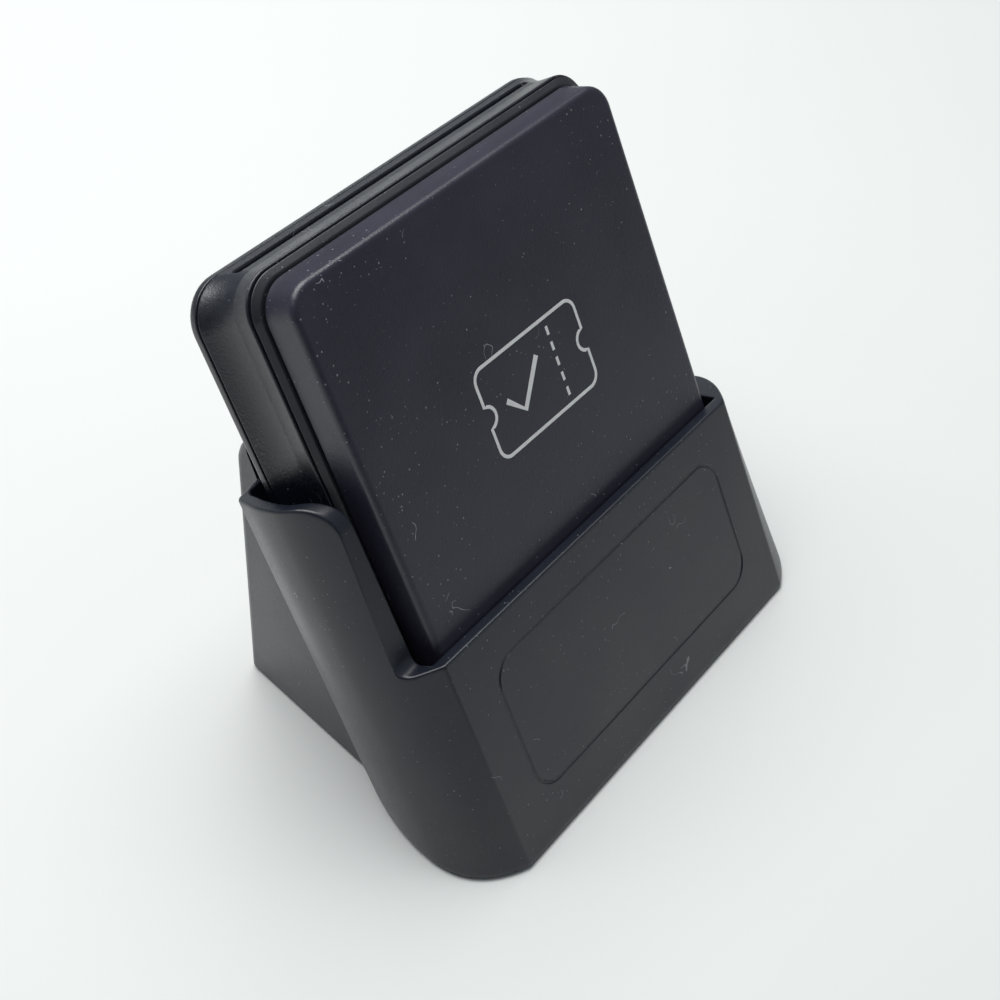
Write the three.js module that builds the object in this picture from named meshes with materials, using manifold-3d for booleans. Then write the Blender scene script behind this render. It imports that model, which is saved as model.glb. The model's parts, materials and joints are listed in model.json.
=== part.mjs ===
// Portable ticket validator: a contactless and chip card reader that stands in a table dock.
//
// Frame: millimetres, +Z up, +X to the right of someone facing the reader, who stands on the -Y side.
// The origin is at the middle of the bounding box, on the table.
// The reader and the pocket that holds it are drawn in a leaning frame of their own:
//   x runs across the face, y runs up along the face, z runs out of the face.
//   Its origin is the middle of the top edge of the reader's face.

import * as THREE from 'three';
import { mergeVertices } from 'three/addons/utils/BufferGeometryUtils.js';
import Module from 'manifold-3d';

const wasm = await Module();
wasm.setup();

// ---------------------------------------------------------------- driving dimensions

const FIT = 0.3;                        // gap between pieces that meet
const LEAN = THREE.MathUtils.degToRad(28.7);   // lean of the reader, back from upright
const FACE_TOP = 71.1;                  // height of the face's top edge above the table
const CORNER_STEPS = 5;                 // facets on each rounded corner
const CURVE_STEPS = 6;                  // facets on each half of the pocket's bulge

// Reader: the face is square, and each deeper section is larger by an outset at the sides and the ends.
const FACE_HALF = 30;
const FACE_LENGTH = 60;
const EDGE_ROUND = 0.7;                 // rounding of the face's edge
const FACE = { depth: 0, side: 0, end: 0, radius: 3.7 };
const SKIRT = { depth: 4.6, side: 0.45, end: 0.45, radius: 4.3 };
const TRIM_FRONT = { depth: 4.9, side: 0.75, end: 0.75, radius: 4.5 };
const TRIM_REAR = { depth: 5.45, side: 1.6, end: 1.6, radius: 4.8 };
const BAND = { depth: 5.75, side: 1.84, end: 1.84, radius: 4.9 };
const WAIST = { depth: 8.7, side: 1.5, end: 1.5, radius: 5.0 };
const COVE = { depth: 10.6, side: 2.3, end: 1.55, radius: 5.1 };
const SEAM_FRONT = { depth: 13.2, side: 3.5, end: 1.65, radius: 5.3 };
const SEAM_REAR = { depth: 13.5, side: 3.5, end: 1.65, radius: 5.3 };
const BACK_EDGE = { depth: 14.8, side: 3.5, end: 1.65, radius: 5.3 };
const BACK_DOME = { depth: 16.2, side: 1.4, end: 0.2, radius: 4.4 };
const BACK_FLAT = { depth: 16.9, side: -3, end: -4, radius: 3.2 };
const COVER_WALL = 1.5;
const SKIRT_INNER_HALF = 28.7;          // inner half width of the front cover's skirt
const INNER_HALF = 29.4;                // inner half width of the middle housing
const INNER_END = -0.4;                 // inner outset of the middle housing at its ends
const CARD_SLOT = { half: 27.3, depth: 10.9, width: 1.5 };
const BOARD_REAR = 7.5;                 // depth of the main board's rear face
const BOARD_FRONT = 6.5;

// Dock pocket, in the leaning frame.
const PLATE_FRONT = 2.15;               // the front plate stands this far in front of the reader's face
const PLATE_HALF = 31.5;
const PLATE_TOP = -49;
const RIM_TOP = -24.3;                  // top of the left side wall and the rear wall
const RIM_FRONT = -2.3;                 // front of the left side wall, above the front plate
const RIM_FRONT_RIGHT = -12.4;          // the right side wall is no higher than the plate down to this depth
const REACH = 45;                       // half width of cuts that pass every side
const RIM_HOLLOW_ROUND = 1.8;
const SHOULDER_ROUND = 4.4;
// The side wall's front curve, as pairs of x and z: its two handles and its widest point.
const SIDE_AT_RIM = [[33.2, -1], [37.15, -5.6], [37.15, -9.5]];
const SIDE_AT_FOOT = [[36, 0.4], [39.3, -2], [39.3, -6.5]];
const SIDE_FOOT = -81.5;                // where the curve has its foot's shape
const REAR_CORNER = { half: 35.7, z: -17.6 };
const REAR_FLAT = { half: 30.9, z: -18.9 };
const SHELL_WALL = 1.8;
// Half of the cavity's section from front to rear, as pairs of x and z.
const CAVITY = [[31.9, 0.3], [32.3, -2.3], [35, -6.8], [35.4, -10], [34.6, -15], [33.6, -17.4], [31.2, -17.9]];
const CAVITY_FLOOR = -62;
const SHELF_THICK = 1.6;
const LABEL = { half: 25.3, top: -54.1, bottom: -75, radius: 4, groove: 0.5, deep: 0.35 };

// Dock rear shell, in the upright frame of the dock, whose y is measured from the face's top edge.
const SHELL_BACK = 9.5;
const SHELL_TOP = 45.9;
const SHELL_TOP_ROUND = 5.5;
const SHELL_FRONT = -REAR_FLAT.z + FIT; // its sloped front lies just behind the pocket's rear wall
const SHELL_HALF_BACK = 30.4;
const SHELL_HALF_FRONT = 34;
const SHELL_TAPER_FRONT = -18.5;
const SHELL_CORNER = 2;

// Underside of the dock.
const FOOT_PROUD = 0.6;                 // the shells end this far above the table
const PLATE_FLOOR = 1.8;                // thickness of the base plate
const FOOT = { radius: 4, top: 1.1, recess: 1.4 };
const FOOT_PLACES = [[-29.5, -30], [29.5, -30], [-19, 2.6], [19, 2.6]];
const POCKET_SCREW = [21, -27];
const SHELL_SCREW = [26.2, 5];
const SCREW_PLACES = [POCKET_SCREW, SHELL_SCREW].flatMap(([x, y]) => [[-x, y], [x, y]]);
const BOSS_RADIUS = 3;
const SCREW = { head: 2.2, headHigh: 0.9, shank: 1.1, long: 7.9 };
const BOSS_HOLE = { radius: 1.4, top: 10 };

// Charging pins, in the leaning frame.
const PIN_PLACES = [-14, -10, 10, 14];
const PIN_DEPTH = -8.6;
const PLUNGER = { top: -61.8, long: 4.7, radius: 0.42 };
const BARREL = { top: -62.9, bottom: -69.3, radius: 0.95, bore: 0.75, spare: 1.5 };

// Small parts.
const BUTTON = { y: -9, depth: 7.6, long: 6.4, wide: 2, inner: 29.4, flange: 29.9, proud: 32.2 };
const USB = { half: 4.5, high: 3.2, deep: 7.3, wall: 0.4 };
const READER_USB_Z = -9.6;
const DOCK_USB_Z = 5.9;
const CASE_SCREW = { x: 27.2, y: -57.2, head: 1.7, headTop: -15.2, shank: 0.75, tip: -9.3 };
const CONTACT_PITCH = 2.54;
const CONTACT_ROWS = [-26, -34];
const CONTACT_SLOT = { half: 0.95, long: 3.1 };
const CORNER_INNER = 2.8;               // corner radius inside the front cover
const HOUSING_INNER = 3.2;              // corner radius inside the middle housing and back cover
const COVER_FLOOR = 15.4;               // depth of the back cover's inner face
const COUNTERBORE = { radius: 2.1, floor: -14.9 };
const GUIDE = { half: 28.6, rear: -12.75, front: -10.2, wall: 1, floor: 0.8, top: -3, long: 43 };

// Plain boxes: lowest and highest x, y and z. Those of the reader and the pin board lean with it.
const ANTENNA_BOARD = [-26, 26, -56, -4, -2.5, -1.9];
const FERRITE_SHEET = [-25, 25, -55, -5, -3.1, -2.8];
const BATTERY = [-22, 22, -50, -10, -6.1, -3.4];
const POWER_SWITCH = [24.8, 28.5, -11.5, -6.5, -9.6, -BOARD_REAR - FIT];
const CONTACT_FRAME = [-26, 26, -44, -14, -10, -BOARD_REAR - FIT];
const SHIELD_OUTSIDE = [-23, -6, -56, -46, -9.8, -BOARD_REAR - FIT];
const SHIELD_INSIDE = [-22.6, -6.4, -55.6, -46.4, -9.4, -BOARD_REAR];
const CHARGING_PAD = [-1.2, 1.2, -61.5, -59.7, -1.2, 1.2];
const PIN_BOARD = [-17.4, 17.4, -70.6, -69.6, -12, -5.2];
const INLET_BOARD = [-9, 9, -5, 7.3, 3, 4];
const INNER_LEAD = [-4, 4, -22.3, -5.3, 3.1, 3.7];
const BALLAST_LEFT = [-26, -10.5, -8, 1.6, 2.7, 13.7];
const BALLAST_RIGHT = [10.5, 26, -8, 1.6, 2.7, 13.7];
const BUZZER = { x: 16, y: -51.5, radius: 4.5, rear: -10.4 };

// ---------------------------------------------------------------- shaping helpers

const UP_SLOPE = new THREE.Vector3(0, Math.sin(LEAN), Math.cos(LEAN));
const OUT_OF_FACE = new THREE.Vector3(0, -Math.cos(LEAN), Math.sin(LEAN));

// Turns the leaning frame into the dock's upright frame.
const SLOPE = new THREE.Matrix4()
  .makeBasis(new THREE.Vector3(1, 0, 0), UP_SLOPE, OUT_OF_FACE)
  .setPosition(0, 0, FACE_TOP);

function sloped(geometry) {
  return geometry.applyMatrix4(SLOPE);
}

function solid(geometry) {
  const bare = geometry.clone();
  bare.deleteAttribute('normal');
  bare.deleteAttribute('uv');
  const merged = mergeVertices(bare, 1e-4);
  return new wasm.Manifold(new wasm.Mesh({
    numProp: 3,
    vertProperties: Float32Array.from(merged.attributes.position.array),
    triVerts: Uint32Array.from(merged.index.array),
  }));
}

function cut(body, ...tools) {
  return tools.reduce((rest, tool) => rest.subtract(solid(tool)), body);
}

function join(body, ...additions) {
  return additions.reduce((whole, addition) => whole.add(solid(addition)), body);
}

function geometryOf(body) {
  const mesh = body.getMesh();
  const geometry = new THREE.BufferGeometry();
  geometry.setAttribute('position', new THREE.BufferAttribute(mesh.vertProperties, 3));
  geometry.setIndex(new THREE.BufferAttribute(mesh.triVerts, 1));
  return geometry;
}

// A box given by its lowest and highest corners.
function block(x0, x1, y0, y1, z0, z1) {
  const box = new THREE.BoxGeometry(x1 - x0, y1 - y0, z1 - z0);
  return box.translate((x0 + x1) / 2, (y0 + y1) / 2, (z0 + z1) / 2);
}

// A round bar along z.
function bar(x, y, radius, z0, z1, sides = 16) {
  const cylinder = new THREE.CylinderGeometry(radius, radius, z1 - z0, sides).rotateX(Math.PI / 2);
  return cylinder.translate(x, y, (z0 + z1) / 2);
}

// A closed body through outlines of equal length, each anticlockwise as seen from the next one.
function loft(outlines) {
  const count = outlines[0].length;
  const index = [];
  for (let level = 0; level + 1 < outlines.length; level += 1) {
    for (let i = 0; i < count; i += 1) {
      const here = level * count + i;
      const beside = level * count + (i + 1) % count;
      index.push(here, beside, beside + count, here, beside + count, here + count);
    }
  }
  const flat = outlines[0].map((point) => new THREE.Vector2(point.a, point.b));
  const last = (outlines.length - 1) * count;
  for (const [i, j, k] of THREE.ShapeUtils.triangulateShape(flat, [])) {
    index.push(i, k, j, last + i, last + j, last + k);
  }
  const geometry = new THREE.BufferGeometry();
  const positions = outlines.flat().flatMap((point) => point.at);
  geometry.setAttribute('position', new THREE.Float32BufferAttribute(positions, 3));
  geometry.setIndex(index);
  return geometry;
}

// A rounded rectangle at height z, anticlockwise seen from +z.
function roundedOutline(half, bottom, top, radius, z) {
  const corners = [
    [half - radius, top - radius],
    [-half + radius, top - radius],
    [-half + radius, bottom + radius],
    [half - radius, bottom + radius],
  ];
  return corners.flatMap(([x, y], corner) => Array.from({ length: CORNER_STEPS + 1 }, (_, step) => {
    const angle = (corner + step / CORNER_STEPS) * Math.PI / 2;
    const a = x + radius * Math.cos(angle);
    const b = y + radius * Math.sin(angle);
    return { a, b, at: [a, b, z] };
  }));
}

// The reader's outline at one of its sections, grown by an extra amount.
function readerOutline(section, grow = 0) {
  const half = FACE_HALF + section.side + grow;
  const top = section.end + grow;
  const radius = Math.max(section.radius + grow, 0.5);
  return roundedOutline(half, -FACE_LENGTH - top, top, radius, -section.depth);
}

function readerLoft(...sections) {
  return loft(sections.map((section) => readerOutline(section)));
}

// A straight-sided rounded block of the reader, from one depth to another.
function readerCore(half, end, radius, deep, shallow) {
  const section = (depth) => ({ depth, side: half - FACE_HALF, end, radius });
  return readerLoft(section(deep), section(shallow));
}

// An outline in the y-z plane, pulled from -half to +half along x.
function acrossX(shape, half) {
  const geometry = new THREE.ExtrudeGeometry(shape, { depth: 2 * half, bevelEnabled: false, curveSegments: 6 });
  return geometry.translate(0, 0, -half).rotateX(Math.PI / 2).rotateZ(Math.PI / 2);
}

// A turned shape about z, from pairs of radius and height that start and end on the axis.
function turned(profile, sides) {
  const points = profile.map(([radius, height]) => new THREE.Vector2(radius, height));
  return new THREE.LatheGeometry(points, sides).rotateX(Math.PI / 2);
}

// ---------------------------------------------------------------- reader casings

// Square cap with a rounded edge, open behind.
function frontCover() {
  const rounding = Array.from({ length: 4 }, (_, step) => {
    const angle = step / 3 * Math.PI / 2;
    const inset = EDGE_ROUND * (1 - Math.cos(angle));
    const depth = EDGE_ROUND * (1 - Math.sin(angle));
    return { depth, side: -inset, end: -inset, radius: FACE.radius - inset };
  });
  const outside = readerLoft(SKIRT, ...rounding);
  const end = SKIRT_INNER_HALF - FACE_HALF;
  const inner = readerCore(SKIRT_INNER_HALF, end, CORNER_INNER, SKIRT.depth + 1, COVER_WALL);
  return cut(solid(outside), inner);
}

// Thin sloped ring between the front cover and the middle housing.
function trimRing() {
  const end = SKIRT_INNER_HALF - FACE_HALF;
  const inner = readerCore(SKIRT_INNER_HALF, end, CORNER_INNER, TRIM_REAR.depth + 1, TRIM_FRONT.depth - 1);
  return cut(solid(readerLoft(TRIM_REAR, TRIM_FRONT)), inner);
}

// Frame of the reader: band, waist and outward cove, with the card slot through its top wall.
function middleHousing() {
  const slotFront = -CARD_SLOT.depth + CARD_SLOT.width / 2;
  const slotRear = -CARD_SLOT.depth - CARD_SLOT.width / 2;
  const inner = readerCore(INNER_HALF, INNER_END, HOUSING_INNER, SEAM_FRONT.depth + 1, BAND.depth - 1);
  const slot = block(-CARD_SLOT.half, CARD_SLOT.half, INNER_END - 1, BAND.end + 1, slotRear, slotFront);
  const usbWindow = block(
    -USB.half - FIT, USB.half + FIT, -65, -58,
    READER_USB_Z - USB.high / 2 - FIT, READER_USB_Z + USB.high / 2 + FIT,
  );
  const padWindows = PIN_PLACES.map((x) => block(x - 1.5, x + 1.5, -65, -58, PIN_DEPTH - 1.5, PIN_DEPTH + 1.5));
  const buttonWindow = pill(BUTTON.long + 2 * FIT, BUTTON.wide + 2 * FIT, INNER_HALF - 1, BUTTON.proud + 3);
  const flangeRecess = block(
    INNER_HALF - 1, BUTTON.flange + FIT, BUTTON.y - 4.5, BUTTON.y + 4.5,
    -BUTTON.depth - 1.7, -BAND.depth + 1,
  );
  const shell = cut(solid(readerLoft(SEAM_FRONT, COVE, WAIST, BAND)), inner);
  const bosses = atCaseScrews((x, y) => bar(x, y, 2.5, -SEAM_FRONT.depth, -BOARD_REAR - FIT, 12));
  const bossHoles = atCaseScrews((x, y) => bar(x, y, 1.1, -SEAM_FRONT.depth - 1, -9, 10));
  return cut(join(shell, ...bosses), slot, usbWindow, ...padWindows, buttonWindow, flangeRecess, ...bossHoles);
}

// Shallow domed back, open in front, with two counterbored screw holes and two locating tabs.
function backCover() {
  const outside = solid(readerLoft(BACK_FLAT, BACK_DOME, BACK_EDGE, SEAM_REAR));
  const inner = readerCore(INNER_HALF, INNER_END, HOUSING_INNER, COVER_FLOOR, SEAM_REAR.depth - 1);
  const holes = atCaseScrews((x, y) => bar(x, y, 1.1, -20, -12, 10));
  const counterbores = atCaseScrews((x, y) => bar(x, y, COUNTERBORE.radius, -20, COUNTERBORE.floor, 12));
  const pads = atCaseScrews((x, y) => bar(x, y, BOSS_RADIUS, -COVER_FLOOR - 0.2, -SEAM_REAR.depth, 12));
  const tabs = [-1, 1].map((side) => block(side * 15 - 3, side * 15 + 3, -2.6, -1, -COVER_FLOOR - 0.2, -13));
  return cut(join(cut(outside, inner), ...pads, ...tabs), ...holes, ...counterbores);
}

function atCaseScrews(make) {
  return [-CASE_SCREW.x, CASE_SCREW.x].map((x) => make(x, CASE_SCREW.y));
}

// ---------------------------------------------------------------- reader insides

// A slot-shaped bar along x, centred on the power button.
function pill(long, wide, x0, x1) {
  const straight = (long - wide) / 2;
  const shape = new THREE.Shape();
  shape.absarc(0, straight, wide / 2, 0, Math.PI);
  shape.absarc(0, -straight, wide / 2, Math.PI, 2 * Math.PI);
  const geometry = new THREE.ExtrudeGeometry(shape, { depth: x1 - x0, bevelEnabled: false, curveSegments: 5 });
  return geometry.rotateY(Math.PI / 2).translate(x0, BUTTON.y, -BUTTON.depth);
}

function powerButton() {
  const stem = pill(BUTTON.long, BUTTON.wide, BUTTON.inner, BUTTON.proud);
  const flange = pill(BUTTON.long + 1.6, BUTTON.wide + 0.8, BUTTON.inner, BUTTON.flange);
  return join(solid(stem), flange);
}

function contactBlock() {
  const frame = solid(block(...CONTACT_FRAME));
  const { half, long } = CONTACT_SLOT;
  return cut(frame, ...contactPlaces().map(([x, y]) => block(x - half, x + half, y - long, y + long, -12, -6)));
}

// Two rows of four contacts, on the grid of a chip card.
function contactPlaces() {
  return CONTACT_ROWS.flatMap((y) => [-1.5, -0.5, 0.5, 1.5].map((step) => [step * CONTACT_PITCH, y]));
}

// Bent leaf whose tip presses on the card's chip.
function chipContact() {
  const leaf = new THREE.Shape();
  leaf.moveTo(-2.8, -8.1);
  leaf.lineTo(-2.8, -8.4);
  leaf.lineTo(-1.2, -8.4);
  leaf.lineTo(1.2, -10.3);
  leaf.lineTo(2.6, -9.6);
  leaf.lineTo(2.6, -9.3);
  leaf.lineTo(1.2, -9.95);
  leaf.lineTo(-1, -8.1);
  return acrossX(leaf, 0.65);
}

// Channel that the card slides in.
function cardGuide() {
  const { half, rear, front, wall, floor, top, long } = GUIDE;
  const walls = [[half, rear], [half, front], [half - wall, front], [half - wall, rear + floor]];
  const mirrored = walls.map(([x, z]) => [-x, z]).reverse();
  const profile = new THREE.Shape([...walls, ...mirrored].map(([x, z]) => new THREE.Vector2(x, z)));
  const channel = new THREE.ExtrudeGeometry(profile, { depth: long, bevelEnabled: false });
  return channel.rotateX(Math.PI / 2).translate(0, top, 0);
}

// Sheet metal can, open towards the board.
function shieldCan() {
  return cut(solid(block(...SHIELD_OUTSIDE)), block(...SHIELD_INSIDE));
}

// Stubby socket with an open mouth towards -y.
function usbSocket() {
  const body = solid(block(-USB.half, USB.half, 0, USB.deep, -USB.high / 2, USB.high / 2));
  const half = USB.half - USB.wall;
  const halfHigh = USB.high / 2 - USB.wall;
  return cut(body, block(-half, half, -1, USB.deep - 1.2, -halfHigh, halfHigh));
}

// Flat-headed screw along z with its head at the low end.
function baseScrew() {
  return turned([
    [0, 0], [SCREW.head, 0], [SCREW.head, SCREW.headHigh], [SCREW.shank, SCREW.headHigh],
    [SCREW.shank, SCREW.long - 0.6], [0, SCREW.long],
  ], 12);
}

function caseScrew() {
  const { head, headTop, shank, tip } = CASE_SCREW;
  const under = headTop - SCREW.headHigh;
  return turned([
    [0, under], [head, under], [head, headTop],
    [shank, headTop], [shank, tip - 0.3], [0, tip],
  ], 12);
}

// ---------------------------------------------------------------- dock pocket

// Half of the pocket's outside section at height y, from the front crease round the bulge to the rear corner.
function sideCurve(y, inset) {
  const fall = (RIM_TOP - y) / (RIM_TOP - SIDE_FOOT);
  const crease = new THREE.Vector2(PLATE_HALF - inset / 2, PLATE_FRONT - inset);
  const [leaving, arriving, widest] = SIDE_AT_RIM.map((atRim, i) => (
    new THREE.Vector2(...atRim).lerp(new THREE.Vector2(...SIDE_AT_FOOT[i]), fall)
  ));
  leaving.subScalar(0.7 * inset);
  arriving.x -= inset;
  widest.x -= inset;
  const corner = new THREE.Vector2(REAR_CORNER.half - inset, REAR_CORNER.z);
  const front = new THREE.CubicBezierCurve(crease, leaving, arriving, widest);
  const rear = new THREE.CubicBezierCurve(
    widest,
    new THREE.Vector2(widest.x, widest.y - 4),
    new THREE.Vector2(corner.x + 0.55 * (widest.x - corner.x), corner.y + 3.1),
    corner,
  );
  return [...front.getPoints(CURVE_STEPS), ...rear.getPoints(CURVE_STEPS).slice(1)];
}

// The pocket's section at height y in the leaning frame. The half outline is mirrored to the other side.
function pocketOutline(y, inset, rearPoints) {
  const right = [...sideCurve(y, inset), ...rearPoints];
  const left = right.map((point) => new THREE.Vector2(-point.x, point.y)).reverse();
  return [...right, ...left].map((point) => ({ a: point.x, b: -point.y, at: [point.x, y, point.y] }));
}

function pocketOutside(grow) {
  const rearPoints = [new THREE.Vector2(REAR_FLAT.half + grow, REAR_FLAT.z - grow)];
  return loft([-90, -20].map((y) => pocketOutline(y, -grow, rearPoints)));
}

// The space below the pocket's floor, open behind and below.
function pocketUnderside(inset) {
  const rearPoints = [new THREE.Vector2(REAR_CORNER.half - inset, -30)];
  return loft([-95, CAVITY_FLOOR - SHELF_THICK].map((y) => pocketOutline(y, inset, rearPoints)));
}

// The space that the reader slides into.
function pocketCavity() {
  const right = CAVITY.map(([x, z]) => new THREE.Vector2(x, z));
  const left = right.map((point) => new THREE.Vector2(-point.x, point.y)).reverse();
  const outline = (y) => [...right, ...left].map(({ x, y: z }) => ({ a: x, b: -z, at: [x, y, z] }));
  return loft([outline(CAVITY_FLOOR), outline(0)]);
}

// Everything above the rim: a level front edge, a hollow round, a straight side and a round shoulder.
function aboveRim(front, middle, half) {
  const shape = new THREE.Shape();
  const hollowTop = PLATE_TOP + RIM_HOLLOW_ROUND;
  shape.moveTo(PLATE_TOP, 6);
  shape.lineTo(6, 6);
  shape.lineTo(6, -26);
  shape.lineTo(RIM_TOP, -26);
  shape.lineTo(RIM_TOP, front - SHOULDER_ROUND);
  shape.absarc(RIM_TOP - SHOULDER_ROUND, front - SHOULDER_ROUND, SHOULDER_ROUND, 0, Math.PI / 2, false);
  shape.lineTo(hollowTop, front);
  shape.absarc(hollowTop, front + RIM_HOLLOW_ROUND, RIM_HOLLOW_ROUND, 1.5 * Math.PI, Math.PI, true);
  return acrossX(shape, half).translate(middle, 0, 0);
}

function labelGroove() {
  const outline = (grow, z) => roundedOutline(
    LABEL.half + grow, LABEL.bottom - grow, LABEL.top + grow, LABEL.radius + grow, z,
  );
  const ring = solid(loft([outline(0, PLATE_FRONT - LABEL.deep), outline(0, PLATE_FRONT + 1)]));
  const island = loft([outline(-LABEL.groove, PLATE_FRONT - 2), outline(-LABEL.groove, PLATE_FRONT + 2)]);
  return geometryOf(cut(ring, island));
}

function belowShells() {
  return block(-60, 60, -80, 40, -60, FOOT_PROUD);
}

// A pair of upright posts above the base plate, and the holes in them.
function screwBosses([x, y]) {
  const bottom = FOOT_PROUD + PLATE_FLOOR + FIT;
  const posts = [-x, x].map((place) => bar(place, y, BOSS_RADIUS, bottom, 16, 12));
  const holes = [-x, x].map((place) => bar(place, y, BOSS_HOLE.radius, 0, BOSS_HOLE.top, 10));
  return [posts, holes];
}

function dockPocket() {
  const pinWindow = block(-16.9, 16.9, CAVITY_FLOOR - 4, CAVITY_FLOOR + 1, PIN_DEPTH - 2.6, PIN_DEPTH + 2.6);
  const [bosses, holes] = screwBosses(POCKET_SCREW);
  const shell = cut(solid(sloped(pocketOutside(0))), sloped(pocketUnderside(SHELL_WALL)));
  return cut(
    join(shell, ...bosses),
    sloped(pocketCavity()), sloped(aboveRim(RIM_FRONT, 0, REACH)),
    sloped(aboveRim(RIM_FRONT_RIGHT, REACH / 2, REACH / 2)), sloped(pinWindow), sloped(labelGroove()),
    belowShells(), ...holes,
  );
}

// ---------------------------------------------------------------- dock rear shell

// Where the leaning plane at a depth behind the face meets a height above the table.
function slopeY(depth, height) {
  return (height - FACE_TOP) * Math.tan(LEAN) + depth / Math.cos(LEAN);
}

// Upright wedge: sloped front, level foot, upright back and a rounded ridge.
function wedge(frontDepth, inset, bottom) {
  const back = SHELL_BACK - inset;
  const round = SHELL_TOP_ROUND - inset;
  const top = SHELL_TOP - inset;
  const profile = new THREE.Shape();
  profile.moveTo(-60, bottom);
  profile.lineTo(back, bottom);
  profile.lineTo(back, top - round);
  profile.absarc(back - round, top - round, round, 0, Math.PI / 2, false);
  profile.lineTo(-60, top);
  const behindSlope = new THREE.Shape();
  behindSlope.moveTo(slopeY(frontDepth, -20), -20);
  behindSlope.lineTo(60, -20);
  behindSlope.lineTo(60, 80);
  behindSlope.lineTo(slopeY(frontDepth, 80), 80);
  return solid(acrossX(profile, REACH)).intersect(solid(acrossX(behindSlope, REACH)));
}

// The rear shell's plan: it narrows towards the back, with rounded upright corners.
function shellPlan(inset, gap) {
  const halfBack = SHELL_HALF_BACK - inset;
  const back = SHELL_BACK - inset;
  const front = SHELL_TAPER_FRONT - gap;
  const halfFront = SHELL_HALF_FRONT - inset;
  const round = Math.max(SHELL_CORNER - inset, 0.4);
  const shape = new THREE.Shape();
  shape.moveTo(-halfFront, front);
  shape.lineTo(halfFront, front);
  shape.lineTo(halfBack + 0.1 * round, back - round);
  shape.absarc(halfBack - round, back - round, round, 0, Math.PI / 2, false);
  shape.absarc(-halfBack + round, back - round, round, Math.PI / 2, Math.PI, false);
  shape.lineTo(-halfBack - 0.1 * round, back - round);
  const column = new THREE.ExtrudeGeometry(shape, { depth: 100, bevelEnabled: false, curveSegments: 4 });
  return column.translate(0, 0, -10);
}

function rearShell() {
  const body = wedge(SHELL_FRONT - 1.5, 0, FOOT_PROUD).intersect(solid(shellPlan(0, 0)));
  const outside = cut(body, sloped(pocketOutside(FIT)));
  const inside = solid(shellPlan(SHELL_WALL, 5));
  const hollow = wedge(SHELL_FRONT + SHELL_WALL, SHELL_WALL, -5).intersect(inside);
  const [bosses, holes] = screwBosses(SHELL_SCREW);
  const inletWindow = block(
    -USB.half - FIT, USB.half + FIT, 5, 12,
    DOCK_USB_Z - USB.high / 2 - FIT, DOCK_USB_Z + USB.high / 2 + FIT,
  );
  const lowFront = solid(block(-60, 60, -30, 20, -10, 26));
  const frontOpening = wedge(SHELL_FRONT - 3, SHELL_WALL, -5).intersect(inside).intersect(lowFront);
  const shell = outside.subtract(hollow).subtract(frontOpening);
  return cut(join(shell, ...bosses), inletWindow, ...holes);
}

// ---------------------------------------------------------------- dock underside and insides

function basePlate() {
  const slab = solid(block(-60, 60, -60, 40, FOOT_PROUD, FOOT_PROUD + PLATE_FLOOR));
  const clear = SHELL_WALL + FIT;
  const ahead = solid(block(-60, 60, -60, -18, -5, 10));
  const frontHalf = solid(sloped(pocketUnderside(clear))).intersect(ahead);
  const rearHalf = wedge(SHELL_FRONT - 4, clear, -5).intersect(solid(shellPlan(clear, 5)));
  const recesses = FOOT_PLACES.map(([x, y]) => bar(x, y, FOOT.radius + FIT, 0, FOOT.recess, 20));
  const screwHoles = SCREW_PLACES.map(([x, y]) => bar(x, y, SCREW.shank + FIT, 0, 5, 12));
  const headTop = FOOT_PROUD + SCREW.headHigh + FIT;
  const headRecesses = SCREW_PLACES.map(([x, y]) => bar(x, y, SCREW.head + FIT, 0, headTop, 14));
  return cut(slab.intersect(frontHalf.add(rearHalf)), ...recesses, ...screwHoles, ...headRecesses);
}

function foot() {
  return bar(0, 0, FOOT.radius, 0, FOOT.top, 20);
}

// Stands a shape drawn along z at a charging pin's place, along the leaning frame's y.
function atPin(geometry, x) {
  return geometry.rotateX(-Math.PI / 2).translate(x, 0, PIN_DEPTH);
}

function pinBlock() {
  const upper = block(-16.5, 16.5, CAVITY_FLOOR - 2, CAVITY_FLOOR - 0.6, PIN_DEPTH - 2.2, PIN_DEPTH + 2.2);
  const flange = block(-17.4, 17.4, -66.8, CAVITY_FLOOR - SHELF_THICK - FIT, PIN_DEPTH - 3.4, PIN_DEPTH + 3.4);
  const holes = PIN_PLACES.map((x) => atPin(bar(0, 0, BARREL.radius + FIT, -75, -55, 12), x));
  return cut(join(solid(upper), flange), ...holes);
}

function pinBarrel(x) {
  const floor = PLUNGER.top - PLUNGER.long - BARREL.spare;
  return atPin(turned([
    [0, BARREL.bottom], [BARREL.radius, BARREL.bottom], [BARREL.radius, BARREL.top],
    [BARREL.bore, BARREL.top], [BARREL.bore, floor], [0, floor],
  ], 12), x);
}

function pinPlunger(x) {
  const bottom = PLUNGER.top - PLUNGER.long;
  return atPin(turned([
    [0, bottom], [PLUNGER.radius, bottom], [PLUNGER.radius, PLUNGER.top - 0.3],
    [PLUNGER.radius / 2, PLUNGER.top], [0, PLUNGER.top],
  ], 10), x);
}

// ---------------------------------------------------------------- assembly

function named(name, shape, material) {
  const geometry = shape instanceof THREE.BufferGeometry ? shape : geometryOf(shape);
  const mesh = new THREE.Mesh(geometry, material.clone());
  mesh.name = name;
  return mesh;
}

function placed(mesh, x, y, z) {
  mesh.position.set(x, y, z);
  return mesh;
}

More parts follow.
